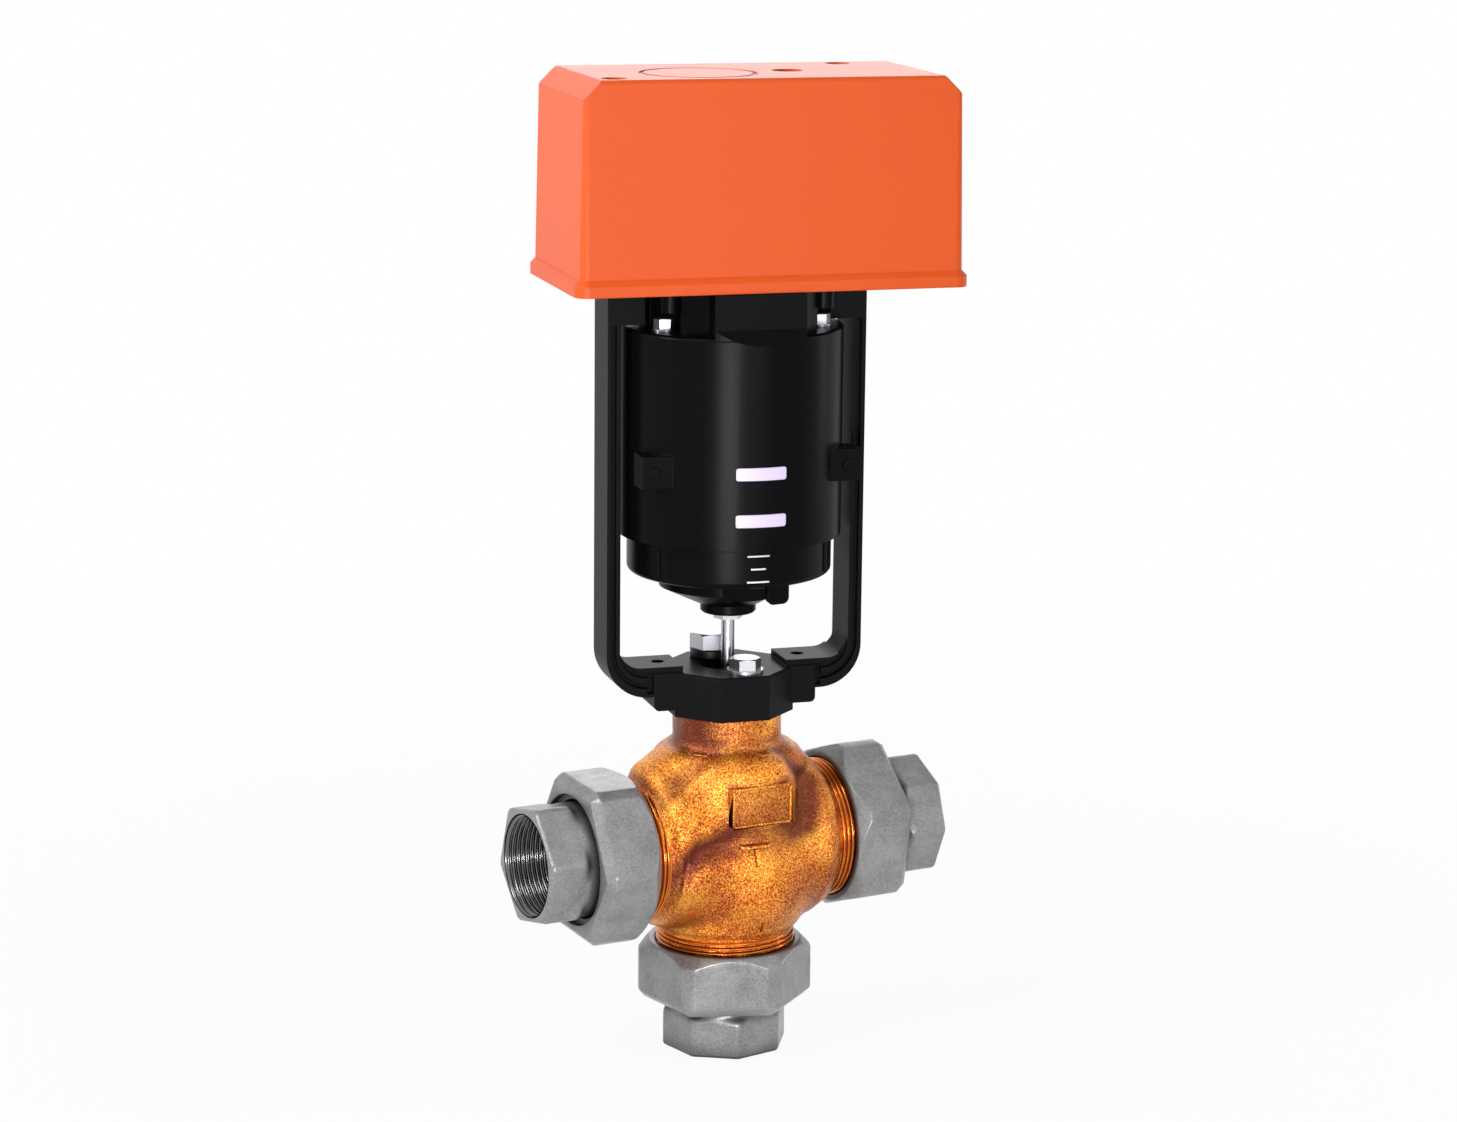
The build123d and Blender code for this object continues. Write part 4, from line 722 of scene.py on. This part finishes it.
# number of flats, width across them and turn of each tailpiece; the left one is a hexagon
tail_shape = {"bottom": (8, tail_flats, -126.2), "left": (6, 52.6, -12.0), "right": (8, tail_flats, 20.0)}
tail_corner_r = 29.7
tail_edge = 1.0
tail_slope = 1.8
tail_mouth_gap = 0.3
thread_cover = 0.05
# the rings' mesh, and how uneven their cast skin is
around = np.arange(360) * 2 * math.pi / 360
ring_mesh = 2.2
ring_wave, ring_unevenness = 9.0, 0.05


def polygon_r(sides, flats, turn, angles, corner_r, blend=0.4):
    """Radius of a polygon with rounded corners, a flat facing the turn angle."""
    step = 2 * math.pi / sides
    off = (angles - math.radians(turn) + step / 2) % step - step / 2
    return soft_min(flats / 2 / np.cos(off), np.full(len(angles), corner_r), blend)


def rounded_outline(points, rounds, steps=4):
    """Closed outline of (radius, height) points for every angle, corners rounded by fillets."""
    out = []
    count = len(points)
    for i in range(count):
        before, here, after = points[i - 1], points[i], points[(i + 1) % count]
        to_a, to_b = before - here, after - here
        long_a = np.linalg.norm(to_a, axis=1, keepdims=True)
        long_b = np.linalg.norm(to_b, axis=1, keepdims=True)
        cut = np.minimum(rounds[i], np.minimum(long_a, long_b) * 0.45)
        start, end = here + to_a / long_a * cut, here + to_b / long_b * cut
        for share in np.linspace(0, 1, steps):
            out.append((1 - share) ** 2 * start + 2 * share * (1 - share) * here + share ** 2 * end)
    return np.array(out)


def ring_piece(name, outline, angles, material, port, wave_seed):
    """Closed ring whose outline differs with the angle, put on its port."""
    turns = len(angles)
    fine = []
    for a, b in zip(outline, np.roll(outline, -1, axis=0)):
        gap = np.linalg.norm(b - a, axis=1).max()
        cuts = max(1, int(gap / ring_mesh))
        fine += [a + (b - a) * k / cuts for k in range(cuts)]
    fine = np.array(fine)
    points = np.stack([fine[:, :, 0] * np.cos(angles), fine[:, :, 0] * np.sin(angles), fine[:, :, 1]], -1)
    points = points.reshape(-1, 3)
    out = points[:, :2] / np.maximum(np.linalg.norm(points[:, :2], axis=1, keepdims=True), 1e-9)
    points[:, :2] += out * wavy(points, ring_wave, ring_unevenness, wave_seed)[:, None]
    piece = mesh_object(name, points, grid_faces(len(fine), turns, True, True), material)
    piece.data.transform(port_matrix(port))
    return piece


def galvanised_material():
    """Galvanised malleable iron: even mid grey with fine zinc crystals that glint near a lamp."""
    material, tree, shader = new_material("malleable_iron_galvanised")
    where = add_node(tree, "ShaderNodeTexCoord")
    # crystals of about half a millimetre, each tipped a little its own way
    crystals = add_node(tree, "ShaderNodeTexVoronoi", {"Scale": 1700.0}, {"Vector": (where, "Object")})
    tone = add_node(tree, "ShaderNodeTexNoise", {"Scale": 60.0, "Detail": 4.0, "Roughness": 0.6},
                    {"Vector": (where, "Object")})
    bright = add_node(tree, "ShaderNodeSeparateColor", links={"Color": (crystals, "Color")})
    mixed = add_node(tree, "ShaderNodeMix", {"Factor": 0.3}, {"A": (tone, "Fac"), "B": (bright, "Red")},
                     data_type="FLOAT")
    colour = ramp_node(tree, (mixed, "Result"), (0.2, "#646464"), (0.8, "#989898"))
    # painted shade in corners and roots within 12 mm
    shaded_colour = painted_root_shade(tree, colour, "#2A2A2A", 0.012, 0.9)
    bump = add_node(tree, "ShaderNodeBump", {"Strength": 0.5, "Distance": 0.00025},
                    {"Height": (bright, "Green")})
    shader.inputs["Metallic"].default_value = 0.35
    shader.inputs["Roughness"].default_value = 0.3
    tree.links.new(shaded_colour.outputs["Result"], shader.inputs["Base Color"])
    tree.links.new(bump.outputs["Normal"], shader.inputs["Normal"])
    return material


galvanised = galvanised_material()
# threads are cut after galvanising, so they show bare bright iron
cut_iron = plain_metal("iron_thread_cut", "#6C6C6C", 1.0, 0.2)


def at(radius, height):
    """One outline point, the same or different at each angle."""
    return np.column_stack([np.broadcast_to(part, len(around)) for part in (radius, height)]).astype(float)


def union_nut(port, seed):
    """Hexagon nut, bevelled in front, that hooks over the flange and takes the valve's thread."""
    hexagon = polygon_r(6, nut_flats, nut_turn[port], around, nut_corner_r)
    over_flat = hexagon - nut_flats / 2
    bevelled = polygon_r(6, nut_flats - 2 * nut_bevel, nut_turn[port], around,
                         nut_corner_r - nut_bevel_corner)
    hook_r, cavity_r = tail_neck_r + nut_hook_gap, port_thread_crest + nut_thread_gap
    recess_floor, hook_back = nut_start + nut_recess_depth, flange_start - nut_flange_gap
    outline = rounded_outline(
        [at(hook_r, recess_floor), at(nut_recess_r, recess_floor), at(nut_recess_r, nut_start),
         at(bevelled, nut_start), at(hexagon, nut_start + nut_bevel),
         at(hexagon, nut_end - nut_edge - over_flat), at(nut_flats / 2 - nut_edge, nut_end),
         at(cavity_r, nut_end), at(cavity_r, hook_back), at(hook_r, hook_back)],
        [0.5, 0.8, 0.5, 0.5, 0.7, 0.7, 0.8, 0.5, 0.4, 0.4])
    nut = ring_piece(port + "_union_nut_cast", outline, around, galvanised, port, seed)
    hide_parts(port + "_union_nut")
    return nut


def tailpiece(port, seed):
    """Tailpiece with flats for a wrench, a neck, the flange under the nut and a threaded mouth."""
    sides, across_flats, turn = tail_shape[port]
    flat_r = polygon_r(sides, across_flats, turn, around, tail_corner_r, 0.3)
    mouth_r = tail_thread_major + tail_mouth_gap
    outline = rounded_outline(
        [at(mouth_r, 0.0), at(flat_r - tail_edge, 0.0), at(flat_r, tail_edge + 0.1),
         at(flat_r, tail_flat_length - tail_edge), at(tail_neck_r, tail_flat_length + tail_slope),
         at(tail_neck_r, flange_start), at(flange_r, flange_start), at(flange_r, flange_end),
         at(tail_bore_r, flange_end), at(tail_bore_r, tail_thread_depth + 1),
         at(mouth_r, tail_thread_depth + 0.2)],
        [0.7, 1.0, 1.0, 1.5, 2.5, 0.8, 0.6, 0.6, 0.6, 0.3, 0.3])
    tail = ring_piece(port + "_tailpiece_cast", outline, around, galvanised, port, seed)
    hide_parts(port + "_tailpiece")
    return tail


def pipe_thread(port):
    """Internal pipe thread, its crests towards the axis."""
    thread = made_by(screw_thread, port + "_pipe_thread",
                     {"Root radius": (tail_thread_major + thread_cover) * mm,
                      "Crest radius": tail_thread_minor * mm, "Pitch": port_thread_pitch * mm,
                      "Length": (tail_thread_depth + 0.4) * mm, "Material": cut_iron})
    thread.data.flip_normals()
    thread.data.transform(port_matrix(port))
    return thread


for index, port in enumerate(ports):
    for piece in (union_nut(port, 10 + index), tailpiece(port, 20 + index), pipe_thread(port)):
        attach(piece, "valve")

# Yoke and its bolts.
# A black coated aluminium casting with a soft sheen and a faint cast grain carries the actuator
# on the valve's neck. Two zinc plated bolts hold it, the rear one on a blackened spacer.
coated_casting = plain_metal("aluminium_black_coated", "#131315", 0.0, 0.34, 1.2, 0.08, edge=0.9,
                             specular=0.026)
zinc = plain_metal("steel_zinc_plated", "#A9A9AE", 1.0, 0.3, edge=0.3)
blackened = plain_metal("steel_blackened", "#1A1A1C", 0.6, 0.4, edge=0.3)
dress(coated_casting, "black_casting", "yoke")
dress(zinc, "zinc_steel", "front_bolt", "rear_bolt", "housing_screws", "yoke_screws", "cover_screws",
      "gear_bridge")
dress(blackened, "black_steel", "rear_spacer")

# Drive housing, lower cap and guide.
# Black moulded housing with two white windows. The cap below it carries three printed ticks.
head_turn = math.radians(-11.4)
cap_r = 47.5
tick_count = 3
tick_top, tick_spacing = 246.0, 6.0
tick_long, tick_short, tick_thickness = 10.5, 7.0, 0.75
# moulded polyamide: black with a soft sheen
black_plastic = plain_metal("polyamide_black", "#060608", 0.0, 0.3, 0.9, 0.02, edge=0.6, specular=0.045)
# opal white window plastic
window_white = plain_metal("window_opal", "#CBBFE2", 0.0, 0.3, edge=0.4, specular=0.3)
# white print
tick_paint = plain_metal("tick_print", "#D8D8DC", 0.0, 0.5)
dress(black_plastic, "black_plastic", "drive_housing", "lower_cap", "spindle_guide", "base_plate",
      "cable_gland", "lug_screws")
dress(window_white, "window_white", "indicator_windows")


def tick_tree():
    """Geometry nodes: a column of printed ticks on a round wall."""
    lengths = ("Wall radius", "Top height", "Spacing", "Long", "Short", "Thickness")
    tree, given, maths = geometry_tree("printed_ticks", lengths + ("Facing",), ("Count",))
    spots = add_node(tree, "GeometryNodeMeshLine", {"Offset": (0.0, 0.0, -1.0)}, {"Count": (given, "Count")})
    index = add_node(tree, "GeometryNodeInputIndex")
    length = add_node(tree, "ShaderNodeMix", data_type="FLOAT",
                      links={"Factor": maths("MODULO", (index, "Index"), 2.0), "A": (given, "Long"),
                             "B": (given, "Short")})
    height = maths("SUBTRACT", (given, "Top height"), maths("MULTIPLY", (index, "Index"), (given, "Spacing")))
    stand = add_node(tree, "ShaderNodeCombineXYZ", links={"Z": height})
    placed = add_node(tree, "GeometryNodeSetPosition",
                      links={"Geometry": (spots, "Mesh"), "Position": (stand, "Vector")})
    bar = add_node(tree, "GeometryNodeMeshCube", {"Size": (1.0, 0.0006, 1.0), "Vertices X": 9})
    size = add_node(tree, "ShaderNodeCombineXYZ", {"Y": 1.0},
                    {"X": (length, "Result"), "Z": (given, "Thickness")})
    copies = add_node(tree, "GeometryNodeInstanceOnPoints",
                      links={"Points": (placed, "Geometry"), "Instance": (bar, "Mesh"),
                             "Scale": (size, "Vector")})
    real = add_node(tree, "GeometryNodeRealizeInstances", links={"Geometry": (copies, "Instances")})
    # the flat bars are bent round the wall
    where = add_node(tree, "GeometryNodeInputPosition")
    split = add_node(tree, "ShaderNodeSeparateXYZ", links={"Vector": (where, "Position")})
    turned = maths("ADD", maths("DIVIDE", (split, "X"), (given, "Wall radius")), (given, "Facing"))
    out = maths("SUBTRACT", (given, "Wall radius"), (split, "Y"))
    right = maths("MULTIPLY", out, maths("SINE", turned))
    back = maths("MULTIPLY", maths("MULTIPLY", out, maths("COSINE", turned)), -1.0)
    return moved_to(tree, given, (real, "Geometry"), right, back, (split, "Z"))


ticks = made_by(tick_tree(), "stroke_ticks",
                {"Wall radius": cap_r * mm, "Top height": tick_top * mm, "Spacing": tick_spacing * mm,
                 "Long": tick_long * mm, "Short": tick_short * mm, "Thickness": tick_thickness * mm,
                 "Facing": head_turn, "Count": tick_count, "Material": tick_paint})
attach(ticks, "valve")

# Drive train.
# Brass and steel gears turn the spindle nut between two bearings. A motor stands on a bridge
# over the chassis.
gear_brass = plain_metal("brass_gear", "#B48C44", 1.0, 0.3, edge=0.15)
bearing_bronze = plain_metal("bronze_sintered", "#9C6E3A", 1.0, 0.45)
plate_steel = plain_metal("steel_plate", "#98989C", 1.0, 0.4)
motor_can = plain_metal("motor_can_drawn", "#B9B9B4", 0.8, 0.35, edge=0.5)
dress(gear_brass, "gear_brass", "spindle_gear", "intermediate_gear")
dress(bearing_bronze, "bearing_bronze", "lower_bearing", "upper_bearing")
dress(plate_steel, "plate_steel", "bearing_plate")
dress(motor_can, "motor_can", "motor")

# Electrics under the cover.
# A green circuit board with grey screw terminals.
board_green = plain_metal("laminate_green", "#1C5A38", 0.0, 0.4)
terminal_grey = plain_metal("terminal_plastic", "#8A8E90", 0.0, 0.5)
dress(board_green, "board_green", "circuit_board")
dress(terminal_grey, "terminal_grey", "terminal_block")

# Cover.
# Orange moulded plastic with drafted walls and a foot lip, held by two screws.
cover_orange = plain_metal("plastic_orange_moulded", "#C24A17", 0.0, 0.38, 0.8, 0.03, edge=1.2, specular=0.18)
dress(cover_orange, "cover_orange", "cover")

# Studio.
# A pale floor and soft lamps: one from the upper left, a narrow beam on the cover's left side, a
# tall one in front, a low one beside the camera, a tall one from the right and a wide one behind.


def area_lamp(name, place, aim, width, height, watts, spread=180):
    """Soft rectangular lamp turned to a point."""
    data = bpy.data.lights.new(name, "AREA")
    data.shape = "RECTANGLE"
    data.size, data.size_y, data.energy = width, height, watts
    data.spread = math.radians(spread)
    lamp = bpy.data.objects.new(name, data)
    bpy.context.scene.collection.objects.link(lamp)
    lamp.location = place
    lamp.rotation_euler = (Vector(aim) - Vector(place)).to_track_quat("-Z", "Y").to_euler()
    return lamp


def floor_material():
    """Matt white floor. Seen directly or in a mirror it is mostly plain white, and it keeps the shadow."""
    material, tree, shader = new_material("floor_white")
    shader.inputs["Base Color"].default_value = linear("#F4F4F4")
    shader.inputs["Roughness"].default_value = 0.9
    shader.inputs["Specular IOR Level"].default_value = 0.1
    plain = add_node(tree, "ShaderNodeEmission", {"Color": linear("#FFFFFF"), "Strength": 1.0})
    # the shadow's part of the floor fades to plain white away from the valve
    where = add_node(tree, "ShaderNodeTexCoord")
    away = add_node(tree, "ShaderNodeVectorMath", links={0: (where, "Object")}, operation="LENGTH")
    plain_share = add_node(tree, "ShaderNodeMapRange",
                           {"From Min": shadow_near, "From Max": shadow_far, "To Min": floor_plain_share,
                            "To Max": 1.0}, {"Value": (away, "Value")})
    share = add_node(tree, "ShaderNodeMath", links={0: seen_directly(tree), 1: (plain_share, "Result")},
                     operation="MULTIPLY")
    mixed = add_node(tree, "ShaderNodeMixShader", links={"Fac": (share, "Value"), 1: (shader, "BSDF"),
                                                         2: (plain, "Emission")})
    surface = [node for node in tree.nodes if node.type == "OUTPUT_MATERIAL"][0]
    tree.links.new(mixed.outputs["Shader"], surface.inputs["Surface"])
    return material


def seen_directly(tree):
    """Output that is 1 for camera, glossy and transmission rays."""
    ray = add_node(tree, "ShaderNodeLightPath")
    seen = add_node(tree, "ShaderNodeMath", links={0: (ray, "Is Camera Ray"), 1: (ray, "Is Glossy Ray")},
                    operation="MAXIMUM")
    both = add_node(tree, "ShaderNodeMath", links={0: (seen, "Value"), 1: (ray, "Is Transmission Ray")},
                    operation="MAXIMUM")
    return both, "Value"


floor_plain_share = 0.93
shadow_near, shadow_far = 0.25, 1.1
floor_half = 3.0
floor_gap = 0.0002
floor_points = [(x * floor_half / mm, y * floor_half / mm, 0)
                for x, y in ((-1, -1), (1, -1), (1, 1), (-1, 1))]
floor = mesh_object("floor", floor_points, [(0, 1, 2, 3)], floor_material(), smooth=False)
floor.location.z = -floor_gap

room_strength = 0.36
world = bpy.data.worlds.new("studio")
bpy.context.scene.world = world
world.use_nodes = True
tree = world.node_tree
tree.nodes.clear()
room_light = add_node(tree, "ShaderNodeBackground", {"Color": linear("#FFFFFF"), "Strength": room_strength})
white_wall = add_node(tree, "ShaderNodeBackground", {"Color": linear("#FFFFFF"), "Strength": 1.0})
either = add_node(tree, "ShaderNodeMixShader",
                  links={"Fac": seen_directly(tree), 1: (room_light, "Background"),
                         2: (white_wall, "Background")})
add_node(tree, "ShaderNodeOutputWorld", links={"Surface": (either, "Shader")})

area_lamp("left_lamp", (-0.9, -0.2, 1.3), (0, 0, 0.36), 0.5, 0.5, 8)
area_lamp("cover_lamp", (-1.3, 0.12, 0.8), (0, 0, 0.45), 0.4, 0.4, 0.7, spread=32)
area_lamp("front_strip", (-0.06, -1.75, 0.45), (0, 0, 0.45), 0.5, 0.86, 6.4)
area_lamp("camera_lamp", (-0.62, -1.15, 0.08), (0, 0, 0.08), 0.4, 0.2, 12)
area_lamp("right_strip", (1.5, -0.3, 0.5), (0, 0, 0.5), 0.1, 0.9, 3)
area_lamp("back_sheet", (0.85, 1.58, 0.8), (0, 0, 0.46), 1.3, 0.5, 5)

# the photograph's view of the valve
photo_width = 1457
focal_length_px = 3797.6
aim_height = 0.234
pitch = math.radians(12.05)
yaw = math.radians(28.05)
roll = math.radians(0.6)
distance = 1.7663
forward = Vector((math.sin(yaw) * math.cos(pitch), math.cos(yaw) * math.cos(pitch), -math.sin(pitch)))
camera_data = bpy.data.cameras.new("camera")
camera_data.sensor_width = 36.0
camera_data.lens = focal_length_px / photo_width * camera_data.sensor_width
camera_data.clip_end = 50.0
camera = bpy.data.objects.new("camera", camera_data)
bpy.context.scene.collection.objects.link(camera)
camera.location = Vector((0, 0, aim_height)) - forward * distance
camera.rotation_mode = "QUATERNION"
camera.rotation_quaternion = forward.to_track_quat("-Z", "Y") @ Matrix.Rotation(roll, 4, "Z").to_quaternion()
bpy.context.scene.camera = camera
bpy.context.scene.view_settings.view_transform = "Standard"
